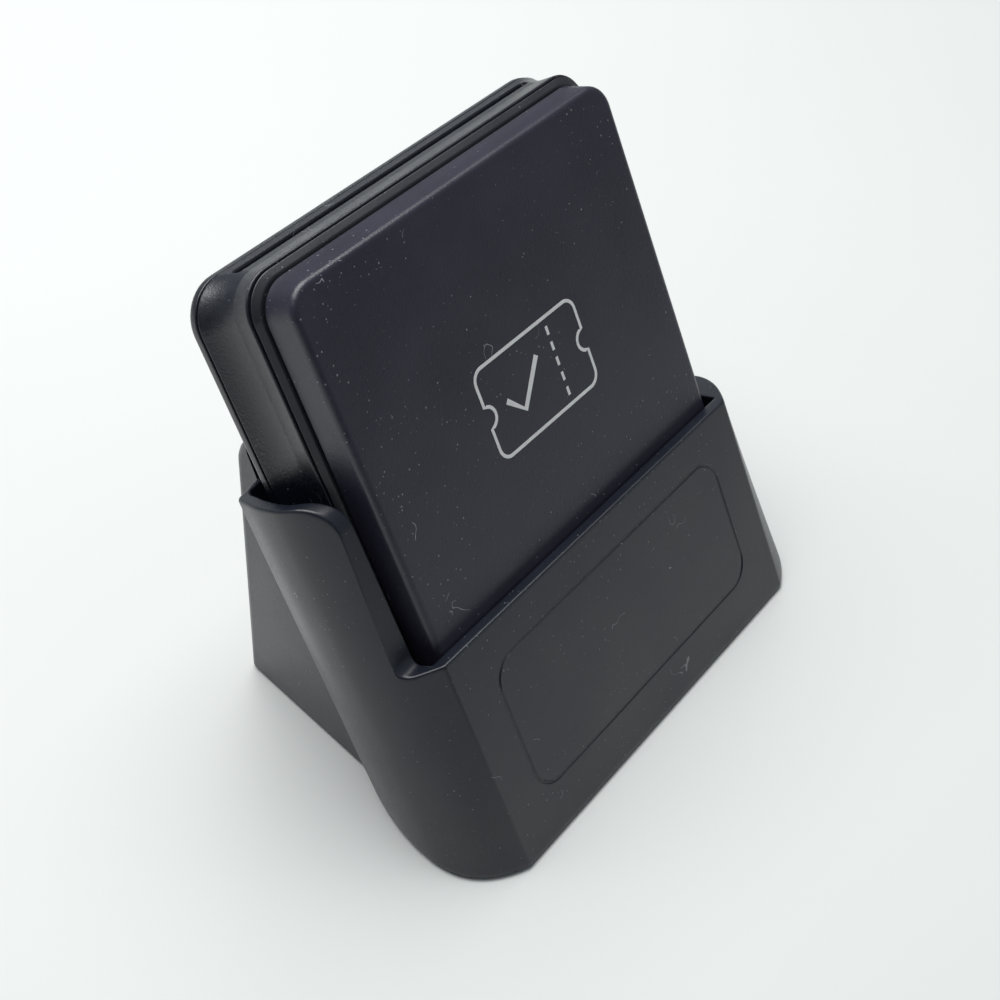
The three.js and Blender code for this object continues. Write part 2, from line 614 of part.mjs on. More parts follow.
const charcoalPlastic = new THREE.MeshStandardMaterial({ color: 0x24252a, roughness: 0.5, metalness: 0 });
const greyPlastic = new THREE.MeshStandardMaterial({ color: 0x2b2d31, roughness: 0.55, metalness: 0 });
const blackPlastic = new THREE.MeshStandardMaterial({ color: 0x121214, roughness: 0.6, metalness: 0 });
const greenBoard = new THREE.MeshStandardMaterial({ color: 0x1f5b35, roughness: 0.6, metalness: 0 });
const steel = new THREE.MeshStandardMaterial({ color: 0xb4b6b8, roughness: 0.35, metalness: 1 });
const gold = new THREE.MeshStandardMaterial({ color: 0xd4a84c, roughness: 0.3, metalness: 1 });
const rubber = new THREE.MeshStandardMaterial({ color: 0x1a1a1a, roughness: 0.85, metalness: 0 });
const batteryFoil = new THREE.MeshStandardMaterial({ color: 0x8d9094, roughness: 0.5, metalness: 0 });

const reader = new THREE.Group();
reader.add(
  named('reader_front_cover', frontCover(), charcoalPlastic),
  named('reader_trim_ring', trimRing(), greyPlastic),
  named('reader_middle_housing', middleHousing(), charcoalPlastic),
  named('reader_back_cover', backCover(), charcoalPlastic),
  named('antenna_board', block(...ANTENNA_BOARD), greenBoard),
  named('ferrite_sheet', block(...FERRITE_SHEET), blackPlastic),
  named('battery', block(...BATTERY), batteryFoil),
  named('main_board', readerCore(28.3, -1, 2.6, BOARD_REAR, BOARD_FRONT), greenBoard),
  named('processor_shield', shieldCan(), steel),
  named('buzzer', bar(BUZZER.x, BUZZER.y, BUZZER.radius, BUZZER.rear, -BOARD_REAR - FIT, 20), blackPlastic),
  named('power_switch', block(...POWER_SWITCH), blackPlastic),
  named('power_button', powerButton(), greyPlastic),
  named('chip_contact_block', contactBlock(), blackPlastic),
  named('card_guide', cardGuide(), blackPlastic),
  placed(named('reader_usb_socket', usbSocket(), steel), 0, -61.2, READER_USB_Z),
);
contactPlaces().forEach(([x, y], i) => {
  reader.add(placed(named(`chip_contact_${i + 1}`, chipContact(), gold), x, y, 0));
});
PIN_PLACES.forEach((x, i) => {
  reader.add(placed(named(`charging_pad_${i + 1}`, block(...CHARGING_PAD), gold), x, 0, PIN_DEPTH));
});
[-CASE_SCREW.x, CASE_SCREW.x].forEach((x, i) => {
  reader.add(placed(named(`case_screw_${i + 1}`, caseScrew(), steel), x, CASE_SCREW.y, 0));
});

// The dock's pieces that follow the slope.
const chargingPins = new THREE.Group();
chargingPins.add(
  named('pin_block', pinBlock(), blackPlastic),
  named('pin_board', block(...PIN_BOARD), greenBoard),
);
PIN_PLACES.forEach((x, i) => {
  chargingPins.add(named(`pin_barrel_${i + 1}`, pinBarrel(x), gold));
  chargingPins.add(named(`pin_plunger_${i + 1}`, pinPlunger(x), gold));
});

const leaning = new THREE.Group();
leaning.position.set(0, 0, FACE_TOP);
leaning.rotation.x = Math.PI / 2 - LEAN;
leaning.add(reader, chargingPins);

const dock = new THREE.Group();
dock.add(
  named('dock_pocket', dockPocket(), charcoalPlastic),
  named('dock_rear_shell', rearShell(), greyPlastic),
  named('base_plate', basePlate(), greyPlastic),
  named('inlet_board', block(...INLET_BOARD), greenBoard),
  named('inner_lead', block(...INNER_LEAD), blackPlastic),
  named('ballast_left', block(...BALLAST_LEFT), steel),
  named('ballast_right', block(...BALLAST_RIGHT), steel),
);
const inlet = placed(named('dock_usb_inlet', usbSocket(), steel), 0, SHELL_BACK - 0.2, DOCK_USB_Z);
inlet.rotation.z = Math.PI;
dock.add(inlet);
FOOT_PLACES.forEach(([x, y], i) => {
  dock.add(placed(named(`rubber_foot_${i + 1}`, foot(), rubber), x, y, 0));
});
SCREW_PLACES.forEach(([x, y], i) => {
  dock.add(placed(named(`base_screw_${i + 1}`, baseScrew(), steel), x, y, FOOT_PROUD));
});

// The origin goes to the middle of the depth, from the front plate's foot to the reader's back.
const foremost = slopeY(-PLATE_FRONT, FOOT_PROUD);
const rearmost = BACK_DOME.end * Math.sin(LEAN) + BACK_DOME.depth * Math.cos(LEAN);
const validator = new THREE.Group();
validator.position.y = -(foremost + rearmost) / 2;
validator.add(leaning, dock);

export default validator;
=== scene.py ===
"""Looks of the portable ticket validator: a square card reader standing in its table dock.

Shapes are given in millimetres in two frames, and turned into metres in the CAD frame as they are built.
Leaning frame: x across the reader's face, y up along it, z out of it, from the middle of its top edge.
Dock frame: upright, z from the table, y from the top edge of the face.
"""
import json
import math

import bmesh
import bpy
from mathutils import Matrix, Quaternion, Vector


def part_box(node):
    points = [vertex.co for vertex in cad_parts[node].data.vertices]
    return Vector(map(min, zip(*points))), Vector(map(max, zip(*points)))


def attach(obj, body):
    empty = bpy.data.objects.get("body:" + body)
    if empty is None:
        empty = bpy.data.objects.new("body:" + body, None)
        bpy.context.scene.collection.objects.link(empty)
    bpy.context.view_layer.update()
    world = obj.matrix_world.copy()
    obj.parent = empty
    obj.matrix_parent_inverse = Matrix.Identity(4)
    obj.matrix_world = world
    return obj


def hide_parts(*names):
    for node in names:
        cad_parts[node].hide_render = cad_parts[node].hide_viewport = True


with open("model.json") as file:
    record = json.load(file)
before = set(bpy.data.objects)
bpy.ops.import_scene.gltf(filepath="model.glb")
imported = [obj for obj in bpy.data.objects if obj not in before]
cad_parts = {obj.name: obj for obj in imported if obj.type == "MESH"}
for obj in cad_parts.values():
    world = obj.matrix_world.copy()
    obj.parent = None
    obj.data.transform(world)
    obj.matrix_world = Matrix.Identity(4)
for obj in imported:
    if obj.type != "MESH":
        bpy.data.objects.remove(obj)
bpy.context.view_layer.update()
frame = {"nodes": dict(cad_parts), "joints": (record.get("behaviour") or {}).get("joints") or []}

MM = 0.001

# ---------------------------------------------------------------- frames

LIFT = next(joint for joint in frame["joints"] if joint["name"] == "reader_lift")
ACROSS = Vector((1, 0, 0))
UP_SLOPE = Vector(LIFT["axis"]).normalized()
OUT_OF_FACE = ACROSS.cross(UP_SLOPE)
BOARD_MIDDLE = (0, -30, -2.2)           # the antenna board's middle, in the leaning frame


def middle(node):
    """The middle of a CAD node's box, in metres."""
    low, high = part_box(node)
    return (low + high) / 2


def turned(x, y, z):
    """A step in the leaning frame, as a step in the CAD frame in metres."""
    return (ACROSS * x + UP_SLOPE * y + OUT_OF_FACE * z) * MM


FACE_TOP = middle("antenna_board") - turned(*BOARD_MIDDLE)


def leaning(x, y, z):
    """A point of the leaning frame, in the CAD frame in metres."""
    return FACE_TOP + turned(x, y, z)


def upright(x, y, z):
    """A point of the dock frame, in the CAD frame in metres."""
    return Vector((x, y, z)) * MM + Vector((0, FACE_TOP.y, 0))


SINE, COSINE = UP_SLOPE.y, UP_SLOPE.z
FACE_TOP_HEIGHT = FACE_TOP.z / MM


def height_to_slope(height, z):
    """The y in the leaning frame of a point at that height above the table and that z."""
    return (height - FACE_TOP_HEIGHT - z * SINE) / COSINE


# ---------------------------------------------------------------- driving dimensions, in mm

FACE_HALF = 30
FACE_LENGTH = 60
CORNER_STEPS = 12                       # facets on each rounded corner
FILLET_STEPS = 4                        # facets on each small rounding
CASING_STEPS = 6                        # facets on each rounding of the two covers
GROOVE_STEPS = 16                       # facets on each corner of the label groove
CURVE_STEPS = 14                        # facets on each curve of the cutter for the pocket
RIDGE_STEPS = 12                        # facets on the rear shell's ridge
HALVINGS = 30                           # steps of each search by halves

# Reader sections: depth behind the face, outset at the sides, outset at the ends, corner radius.
COVER_FLAT = (0, -3, -3, 0.9)
COVER_EDGE = (0, 0, 0, 3.7)
SKIRT = (4.6, 0.45, 0.45, 4.3)
COVER_INNER = (4.6, -1.3, -1.3, 2.8)
TRIM_FRONT = (4.9, 0.75, 0.75, 4.5)
TRIM_REAR = (5.45, 1.6, 1.6, 4.8)
BAND = (5.75, 1.84, 1.84, 4.9)
HOUSING_INNER = (5.75, -0.6, -0.4, 3.2)
WAIST = (8.7, 1.5, 1.5, 5.0)
COVE_AFTER_WAIST = (10.6, 1.55, 1.5, 5.05)
COVE_BEFORE_SEAM = (12.0, 2.5, 1.55, 5.2)
COVE_STEPS = 10
SEAM_FRONT = (13.2, 3.5, 1.65, 5.3)
SEAM_REAR = (13.5, 3.5, 1.65, 5.3)
BACK_EDGE = (14.8, 3.5, 1.65, 5.3)
BACK_DOME = (16.2, 1.4, 0.2, 4.4)
BACK_FLAT = (16.9, -3, -4, 3.2)
BACK_FLAT_MARGIN = 2.5                  # ring of faces kept between the flat's edge and its middle
COVER_FLOOR = 1.5                       # depth at which the front cover's hollow ends
BACK_FLOOR = 15.4                       # depth at which the back cover's hollow ends
CARD_SLOT = {"half": 27.3, "width": 1.4, "depth": 10.9}
SLOT_FLARE = ((-1.5, 0), (1.2, 0), (1.5, 0.1), (1.9, 0.4))     # height at the top end, how far it widens
SLOT_END_FLAT = 0.05                    # half of the straight bit at each end of the slot
PIN_PLACES = (-14, -10, 10, 14)
PIN_DEPTH = -8.6
PIN_WINDOW = 1.5
BOTTOM_WALL = (-65, -58)                # from below the reader to inside its bottom wall
SOCKET_WINDOW = {"half": 4.8, "z": (-11.5, -7.7)}
CASE_SCREWS = ((-27.2, -57.2), (27.2, -57.2))
COUNTERBORE = {"radius": 2.1, "z": (-20, -14.9)}
BUTTON = {"middle": (-9, -7.6), "long": 6.4, "wide": 2.0, "root": 29.4, "proud": 32.2, "gap": 0.3}
BUTTON_CUT = (28, 34)
BUTTON_CROWN = ((0.35, 0), (0.15, 0.08), (0.03, 0.25), (0, 0.5))     # below its top, how far it narrows

# Dock pocket.
PLATE_FRONT = 2.15
PLATE_BACK = 0.3
PLATE_HALF = 31.5
PLATE_TOP = -49
RIM_TOP = -24.3
RIM_FRONT = {-1: -2.3, 1: -12.4}       # where the left and the right side wall begin to rise
RIM_HOLLOW = 1.8
RIM_HOLLOW_STEPS = 8
SHOULDER = 4.4
SHOULDER_STEPS = 14
REAR_CORNER = (35.7, -17.6)
REAR_FLAT = (30.9, -18.9)
CAVITY_FLOOR = -62
SHELF = 1.6
LABEL = {"half": 25.3, "top": -54.1, "bottom": -75, "radius": 4}
GROOVE = {"wide": 0.5, "slope": 0.14, "deep": 0.15, "flare": 0.22, "above": 0.2}
PIN_ROW = {"half": 16.9, "thick": 2.6, "below": 4, "above": 1}
WALL_ROWS = 26                          # rows down the pocket's outside
INNER_ROWS = 10                         # rows down its hollow
END_SHARE = 0.02                        # share of the wall down to the row next to the rim or the lip
FOOT_SHARE = 0.97                       # and down to the row next to the foot
FOOT_SPREAD = 1.25                      # above 1, the rim's columns crowd to the front at the foot

# Dock rear shell and underside.
SHELL_BACK = 9.5
SHELL_TOP = 45.9
SHELL_FRONT = 19.2                      # depth of its sloped front, just behind the pocket
SHELL_ROUND = 5.5
SHELL_CORNER = 1.5
SHELL_WALL = 1.8
SHELL_HALF_BACK = 30.4
SHELL_HALF_FRONT = 34
SHELL_TAPER_FRONT = -18.5
SHELL_OVERLAP = 1.5                     # how far the uncut shell reaches into the pocket
POCKET_GAP = 0.3                        # between the pocket and the shell
POCKET_SPAN = (-90, -20)                # from below the table to above the ridge, along the slope
HOLLOW_BOTTOM = -5
HOLLOW_CORNER = 0.8
FRONT_OPENING = {"reach": 3, "top": 28}
INLET_WINDOW = {"half": 4.8, "y": (5, 12), "z": (4.0, 7.8)}
FOOT_PROUD = 0.6
CARRIED_ROUND = 0.12


# ---------------------------------------------------------------- mesh building

def mix(a, b, share):
    return a + (b - a) * share


def around(place, half):
    """The two ends of a stretch with its middle at a place."""
    return place - half, place + half


class Skin:
    """A closed mesh under construction, in one of the two frames."""

    def __init__(self, place):
        self.place = place
        self.mesh = bmesh.new()

    def row(self, points):
        return [self.mesh.verts.new(self.place(*point)) for point in points]

    def face(self, corners):
        """A face on those corners, leaving out a corner that comes twice in a row."""
        kept = [v for i, v in enumerate(corners) if v is not corners[i - 1]]
        if len(kept) > 2:
            self.mesh.faces.new(kept)

    def band(self, low, high, closed=True):
        """Faces between two rows; a closed band goes all the way round."""
        last = len(low) if closed else len(low) - 1
        for i in range(last):
            j = (i + 1) % len(low)
            self.face([low[i], low[j], high[j], high[i]])

    def tube(self, rows, closed=True):
        for low, high in zip(rows, rows[1:]):
            self.band(low, high, closed)

    def solid(self, rows):
        """A tube through the rows, with a face at each end."""
        self.tube(rows)
        self.face(rows[0])
        self.face(rows[-1])

    def object(self, name):
        """The finished mesh as an object, with its faces turned outward."""
        bmesh.ops.recalc_face_normals(self.mesh, faces=self.mesh.faces)
        if self.mesh.calc_volume(signed=True) < 0:
            bmesh.ops.reverse_faces(self.mesh, faces=self.mesh.faces)
        data = bpy.data.meshes.new(name)
        self.mesh.to_mesh(data)
        self.mesh.free()
        made = bpy.data.objects.new(name, data)
        bpy.context.scene.collection.objects.link(made)
        return made


def apply_modifiers(obj):
    """Bakes the object's modifiers into its mesh."""
    bpy.context.view_layer.update()
    graph = bpy.context.evaluated_depsgraph_get()
    data = bpy.data.meshes.new_from_object(obj.evaluated_get(graph))
    obj.modifiers.clear()
    obj.data = data


def round_sharp(obj, width, segments=2, angle=32):
    """Adds a small rounding to every edge that bends more than the angle."""
    bevel = obj.modifiers.new("rounding", "BEVEL")
    bevel.limit_method = "ANGLE"
    bevel.angle_limit = math.radians(angle)
    bevel.width = width * MM
    bevel.segments = segments


def carve(obj, *cutters):
    """Cuts the cutters out of the object and removes them."""
    for cutter in cutters:
        boolean = obj.modifiers.new("carve", "BOOLEAN")
        boolean.operation = "DIFFERENCE"
        boolean.solver = "EXACT"
        boolean.object = cutter
    apply_modifiers(obj)
    for cutter in cutters:
        bpy.data.objects.remove(cutter)


def shade(obj, angle=34):
    """Smooth shading, with flat faces kept flat and sharp edges kept sharp."""
    obj.data.shade_smooth()
    obj.data.set_sharp_from_angle(angle=math.radians(angle))
    weighted = obj.modifiers.new("even_normals", "WEIGHTED_NORMAL")
    weighted.keep_sharp = True
    weighted.weight = 80
    apply_modifiers(obj)


def finish_piece(obj, material, body, nodes=()):
    """Gives the piece its material and its body, and hides the CAD nodes it stands for."""
    obj.data.materials.clear()
    obj.data.materials.append(material)
    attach(obj, body)
    if nodes:
        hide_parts(*nodes)


def rounded_outline(half, bottom, top, radius, z, steps=CORNER_STEPS):
    """A rectangle with rounded corners at depth z."""
    corners = (
        (half - radius, top - radius),
        (-half + radius, top - radius),
        (-half + radius, bottom + radius),
        (half - radius, bottom + radius),
    )
    points = []
    for quarter, (x, y) in enumerate(corners):
        for step in range(steps + 1):
            angle = (quarter + step / steps) * math.pi / 2
            points.append((x + radius * math.cos(angle), y + radius * math.sin(angle), z))
    return points


def bezier(handles, t):
    """The point at share t of a curve with four handles, in as many dimensions as they have."""
    shares = ((1 - t) ** 3, 3 * t * (1 - t) ** 2, 3 * t * t * (1 - t), t ** 3)
    return tuple(sum(s * h[i] for s, h in zip(shares, handles)) for i in range(len(handles[0])))


def arc(x, y, radius, start, stop, steps=10):
    """Points on a circle round (x, y), between two angles in degrees."""
    angles = [math.radians(mix(start, stop, i / steps)) for i in range(steps + 1)]
    return [(x + radius * math.cos(a), y + radius * math.sin(a)) for a in angles]


def bend(a, corner, b, t):
    """The point at share t of a curve from a to b that bends round the corner."""
    return tuple((1 - t) ** 2 * i + 2 * t * (1 - t) * j + t * t * k for i, j, k in zip(a, corner, b))


def softened(path, rounds, steps=FILLET_STEPS, closed=False):
    """The path with each corner rounded by the length given for it."""
    made = []
    count = len(path)
    for i, (point, size) in enumerate(zip(path, rounds)):
        if size == 0 or (not closed and i in (0, count - 1)):
            made.append(point)
            continue
        ends = []
        for other in (path[i - 1], path[(i + 1) % count]):
            length = math.hypot(other[0] - point[0], other[1] - point[1])
            share = min(size / length, 0.48)
            ends.append([mix(p, o, share) for p, o in zip(point, other)])
        made += [bend(ends[0], point, ends[1], step / steps) for step in range(steps + 1)]
    return made


def reader_row(skin, section):
    """A row of points round the reader, for one of its sections."""
    depth, side, end, radius = section
    return skin.row(rounded_outline(FACE_HALF + side, -FACE_LENGTH - end, end, radius, -depth))


def inset(section, amount):
    """The section made smaller all round."""
    depth, side, end, radius = section
    return (depth, side - amount, end - amount, max(radius - amount, 0.4))


def at_depth(section, depth):
    """The same section at another depth."""
    return (depth, *section[1:])


# ---------------------------------------------------------------- materials

def smooth_ramp(tree, value, *ends):
    """The value stretched from one range to another, smoothly and within its ends."""
    node = tree.nodes.new("ShaderNodeMapRange")
    node.interpolation_type = "SMOOTHSTEP"
    tree.links.new(value, node.inputs["Value"])
    for name, number in zip(("From Min", "From Max", "To Min", "To Max"), ends):
        node.inputs[name].default_value = number
    return node.outputs[0]


class Paint:
    """A material's node tree, with coordinates in millimetres."""

    def __init__(self, name):
        self.material = bpy.data.materials.new(name)
        self.material.use_nodes = True
        self.nodes = self.material.node_tree.nodes
        self.links = self.material.node_tree.links
        self.shader = self.nodes["Principled BSDF"]
        place = self.nodes.new("ShaderNodeTexCoord")
        scale = self.nodes.new("ShaderNodeVectorMath")
        scale.operation = "SCALE"
        scale.inputs["Scale"].default_value = 1 / MM
        self.links.new(place.outputs["Object"], scale.inputs[0])
        self.place = scale.outputs[0]

    def put(self, socket, value):
        if isinstance(value, bpy.types.NodeSocket):
            self.links.new(value, socket)
        else:
            socket.default_value = value

    def noise(self, size, detail=2.0, roughness=0.5, place=None):
        """Soft noise from 0 to 1, whose patches are about that many millimetres."""
        node = self.nodes.new("ShaderNodeTexNoise")
        self.links.new(place or self.place, node.inputs["Vector"])
        node.inputs["Scale"].default_value = 1 / size
        node.inputs["Detail"].default_value = detail
        node.inputs["Roughness"].default_value = roughness
        return node.outputs["Fac"]

    def cells(self, size, feature="F1"):
        """Distance to the nearest of scattered points, and a random number for each point."""
        node = self.nodes.new("ShaderNodeTexVoronoi")
        node.feature = feature
        self.links.new(self.place, node.inputs["Vector"])
        node.inputs["Scale"].default_value = 1 / size
        if feature == "DISTANCE_TO_EDGE":
            return node.outputs["Distance"], None, None
        split = self.nodes.new("ShaderNodeSeparateColor")
        self.links.new(node.outputs["Color"], split.inputs[0])
        return node.outputs["Distance"], split.outputs[0], split.outputs[1]

    def math(self, operation, a, b=0.0, clamp=False):
        node = self.nodes.new("ShaderNodeMath")
        node.operation = operation
        node.use_clamp = clamp
        self.put(node.inputs[0], a)
        self.put(node.inputs[1], b)
        return node.outputs[0]

    def ramp(self, value, low, high, to_low=0.0, to_high=1.0):
        return smooth_ramp(self.material.node_tree, value, low, high, to_low, to_high)

    def blend(self, share, a, b):
        node = self.nodes.new("ShaderNodeMix")
        node.data_type = "RGBA"
        self.put(node.inputs["Factor"], share)
        self.put(node.inputs["A"], a)
        self.put(node.inputs["B"], b)
        return node.outputs["Result"]

    def bump(self, height, distance, strength=1.0, normal=None):
        """Bump from a height of 0 to 1 that stands for that many millimetres."""
        node = self.nodes.new("ShaderNodeBump")
        node.inputs["Strength"].default_value = strength
        node.inputs["Distance"].default_value = distance * MM
        self.links.new(height, node.inputs["Height"])
        if normal:
            self.links.new(normal, node.inputs["Normal"])
        return node.outputs["Normal"]

    def worn_edges(self):
        """1 on convex edges and 0 elsewhere."""
        geometry = self.nodes.new("ShaderNodeNewGeometry")
        return self.ramp(geometry.outputs["Pointiness"], 0.52, 0.62)

    def set(self, **values):
        """Sets or links the shader's sockets, and gives the finished material."""
        for name, value in values.items():
            self.put(self.shader.inputs[name.replace("_", " ")], value)
        return self.material


def grey(value):
    return (value, value, value, 1.0)


def tint(red, green, blue):
    return (red, green, blue, 1.0)


DUST = tint(0.36, 0.38, 0.40)


def plastic(name, colour, roughness, grain=0.2, relief=0.014, dust=0.5, specular=0.7):
    """Moulded plastic: fine spark-eroded grain, cloudy gloss, pale worn edges, dust specks and lint."""
    paint = Paint(name)
    cloud = paint.noise(14, 3.0)
    fine = paint.noise(grain, 1.0, 0.6)
    pits = paint.noise(grain * 2.3, 2.0, 0.7)
    worn = paint.worn_edges()

    # Dust: a round speck in some of the cells, smaller away from the dusty patches.
    distance, chance, width = paint.cells(0.8)
    crowd = paint.ramp(paint.noise(19, 2.0), 0.42, 0.62, 1.0, 0.45)
    radius = paint.math("MULTIPLY", paint.ramp(width, 0.0, 1.0, 0.08, 0.21), crowd)
    speck = paint.math("SUBTRACT", 1.0, paint.math("DIVIDE", distance, radius), True)
    speck = paint.math("MULTIPLY", speck, paint.ramp(chance, 0.3, 0.34))

    # Lint: short bits of thin contour lines.
    line = paint.math("ABSOLUTE", paint.math("SUBTRACT", paint.noise(3.1, 1.0), 0.5))
    lint = paint.math("MULTIPLY", paint.ramp(line, 0.002, 0.007, 1.0, 0.0),
                      paint.ramp(paint.noise(4.6, 0.0), 0.745, 0.76))
    dirt = paint.math("MULTIPLY", paint.math("MAXIMUM", speck, lint), dust, True)

    light = tuple(min(c * 1.35 + 0.001, 1.0) for c in colour[:3]) + (1.0,)
    dark = tuple(c * 0.8 for c in colour[:3]) + (1.0,)
    body = paint.blend(cloud, dark, light)
    body = paint.blend(paint.math("MULTIPLY", worn, 0.2), body, tint(0.10, 0.105, 0.12))
    body = paint.blend(dirt, body, DUST)
    gloss = paint.math("ADD", paint.ramp(cloud, 0.3, 0.7, roughness - 0.04, roughness + 0.05),
                       paint.math("MULTIPLY", paint.math("SUBTRACT", pits, 0.5), 0.2))
    gloss = paint.math("ADD", paint.math("MULTIPLY", dirt, 0.3), gloss, True)
    height = paint.math("ADD", paint.math("MULTIPLY", fine, 0.6), paint.math("MULTIPLY", pits, 0.4))
    normal = paint.bump(height, relief)
    normal = paint.bump(speck, 0.05, 1.0, normal)
    return paint.set(Base_Color=body, Roughness=gloss, Normal=normal, Specular_IOR_Level=specular)


def metal(name, colour, roughness, brushed=0.25):
    """Plated or rolled metal with fine lengthwise lines and cloudy tarnish."""
    paint = Paint(name)
    stretch = paint.nodes.new("ShaderNodeVectorMath")
    stretch.operation = "MULTIPLY"
    paint.links.new(paint.place, stretch.inputs[0])
    stretch.inputs[1].default_value = (1.0, 0.08, 1.0)
    lines = paint.noise(0.07, 2.0, 0.6, stretch.outputs[0])
    cloud = paint.noise(1.8, 3.0)
    shade_low = tuple(c * 0.72 for c in colour[:3]) + (1.0,)
    body = paint.blend(cloud, shade_low, colour)
    gloss = paint.math("ADD", paint.ramp(cloud, 0.3, 0.7, roughness - 0.06, roughness + 0.08),
                       paint.math("MULTIPLY", paint.math("SUBTRACT", lines, 0.5), brushed))
    return paint.set(Base_Color=body, Roughness=gloss, Metallic=1.0, Normal=paint.bump(lines, 0.004))


def ink(name):
    """Pale pad print, a little uneven, with pinholes."""
    paint = Paint(name)
    cloud = paint.noise(1.2, 3.0)
    hole = paint.math("MULTIPLY", paint.ramp(paint.noise(0.16, 1.0), 0.24, 0.30, 1.0, 0.0), 0.45)
    body = paint.blend(cloud, grey(0.78), tint(0.92, 0.94, 0.94))
    body = paint.blend(hole, body, grey(0.12))
    return paint.set(Base_Color=body, Roughness=paint.ramp(cloud, 0.3, 0.7, 0.5, 0.7),
                     Normal=paint.bump(paint.noise(0.12, 2.0), 0.006))


def board(name):
    """Circuit board: green mask over copper tracks, with plated dots."""
    paint = Paint(name)
    tracks = paint.ramp(paint.cells(2.4, "DISTANCE_TO_EDGE")[0], 0.05, 0.07, 1.0, 0.0)
    dots = paint.ramp(paint.cells(1.7)[0], 0.16, 0.19, 1.0, 0.0)
    weave = paint.noise(0.35, 2.0)
    body = paint.blend(weave, tint(0.006, 0.055, 0.022), tint(0.010, 0.085, 0.034))
    body = paint.blend(paint.math("MULTIPLY", tracks, 0.55), body, tint(0.03, 0.17, 0.07))
    body = paint.blend(dots, body, tint(0.62, 0.48, 0.25))
    height = paint.math("MAXIMUM", tracks, dots)
    return paint.set(Base_Color=body, Roughness=paint.ramp(weave, 0.3, 0.7, 0.3, 0.42),
                     Metallic=paint.math("MULTIPLY", dots, 0.9), Normal=paint.bump(height, 0.035))


def rubber(name):
    """Matt black rubber with a dusty, pitted skin."""
    paint = Paint(name)
    pits = paint.noise(0.22, 3.0, 0.65)
    dust = paint.ramp(paint.noise(1.1, 3.0, 0.7), 0.52, 0.72, 0.0, 0.45)
    body = paint.blend(dust, grey(0.012), tint(0.075, 0.075, 0.07))
    return paint.set(Base_Color=body, Roughness=paint.ramp(pits, 0.3, 0.7, 0.72, 0.95),
                     Normal=paint.bump(pits, 0.03))


def foil(name):
    """Wrinkled wrapping of the battery pouch."""
    paint = Paint(name)
    creases = paint.noise(3.2, 4.0, 0.6)
    fine = paint.noise(0.5, 2.0)
    body = paint.blend(creases, tint(0.20, 0.21, 0.22), tint(0.34, 0.35, 0.36))
    normal = paint.bump(fine, 0.01, 1.0, paint.bump(creases, 0.12))
    gloss = paint.ramp(fine, 0.3, 0.7, 0.32, 0.5)
    return paint.set(Base_Color=body, Roughness=gloss, Metallic=0.6, Normal=normal)


PAINTS = {
    "cover_plastic": plastic("cover_plastic", tint(0.0215, 0.0205, 0.0360), 0.35, grain=0.24, relief=0.035,
                             dust=0.9),
    "housing_plastic": plastic("housing_plastic", tint(0.0060, 0.0080, 0.0150), 0.33, grain=0.3, relief=0.05,
                               specular=0.85),
    "trim_plastic": plastic("trim_plastic", tint(0.0120, 0.0130, 0.0185), 0.40, dust=0.35, specular=0.9),
    "dock_plastic": plastic("dock_plastic", tint(0.0095, 0.0125, 0.0210), 0.34, dust=0.6, specular=0.66),
    "inner_plastic": plastic("inner_plastic", tint(0.004, 0.004, 0.0045), 0.6, dust=0.1, specular=0.3),
    "circuit_board": board("circuit_board"),
    "ferrite": plastic("ferrite", tint(0.018, 0.018, 0.019), 0.62, grain=0.4, relief=0.02, dust=0.1),
    "battery_foil": foil("battery_foil"),
    "socket_steel": metal("socket_steel", tint(0.62, 0.63, 0.64), 0.28),
    "screw_steel": metal("screw_steel", tint(0.46, 0.46, 0.47), 0.34),
    "ballast_steel": metal("ballast_steel", tint(0.40, 0.40, 0.41), 0.48, 0.4),
    "contact_gold": metal("contact_gold", tint(0.83, 0.61, 0.27), 0.24),
    "foot_rubber": rubber("foot_rubber"),
    "print_ink": ink("print_ink"),
}


# ---------------------------------------------------------------- reader casings

def reader_front_cover():
    """Square cap with a rounded edge and a flat face, hollow behind."""
    path = [at_depth(COVER_INNER, COVER_FLOOR), COVER_INNER, SKIRT, COVER_EDGE, COVER_FLAT]
    rounds = (0, 0.12, 0.15, 0.95, 0)
    skin = Skin(leaning)
    rows = [reader_row(skin, section) for section in softened(path, rounds, CASING_STEPS)]
    skin.solid(rows)
    cover = skin.object("front_cover")
    shade(cover)
    finish_piece(cover, PAINTS["cover_plastic"], "reader", ["reader_front_cover"])


def reader_ring(name, path, rounds, material, node, cutters=()):
    """A ring of the reader's casing, from the path of its wall's section."""
    skin = Skin(leaning)
    rows = [reader_row(skin, section) for section in softened(path, rounds, closed=True)]
    skin.tube([*rows, rows[0]])
    ring = skin.object(name)
    if cutters:
        carve(ring, *cutters)
    shade(ring)
    finish_piece(ring, PAINTS[material], "reader", [node])


def cove_path():
    """Hollow curve from the waist out to the seam edge, without its two ends."""
    handles = (WAIST, COVE_AFTER_WAIST, COVE_BEFORE_SEAM, SEAM_FRONT)
    return [bezier(handles, step / COVE_STEPS) for step in range(1, COVE_STEPS)]


def slot_cutter():
    """Card slot with a flared mouth."""
    skin = Skin(leaning)
    rows = []
    for y, wider in SLOT_FLARE:
        half = CARD_SLOT["half"] + wider
        half_width = CARD_SLOT["width"] / 2 + wider
        outline = rounded_outline(half, -half_width, half_width, half_width - SLOT_END_FLAT, 0, CASING_STEPS)
        rows.append(skin.row([(x, y, z - CARD_SLOT["depth"]) for x, z, _ in outline]))
    skin.solid(rows)
    return skin.object("slot_cutter")


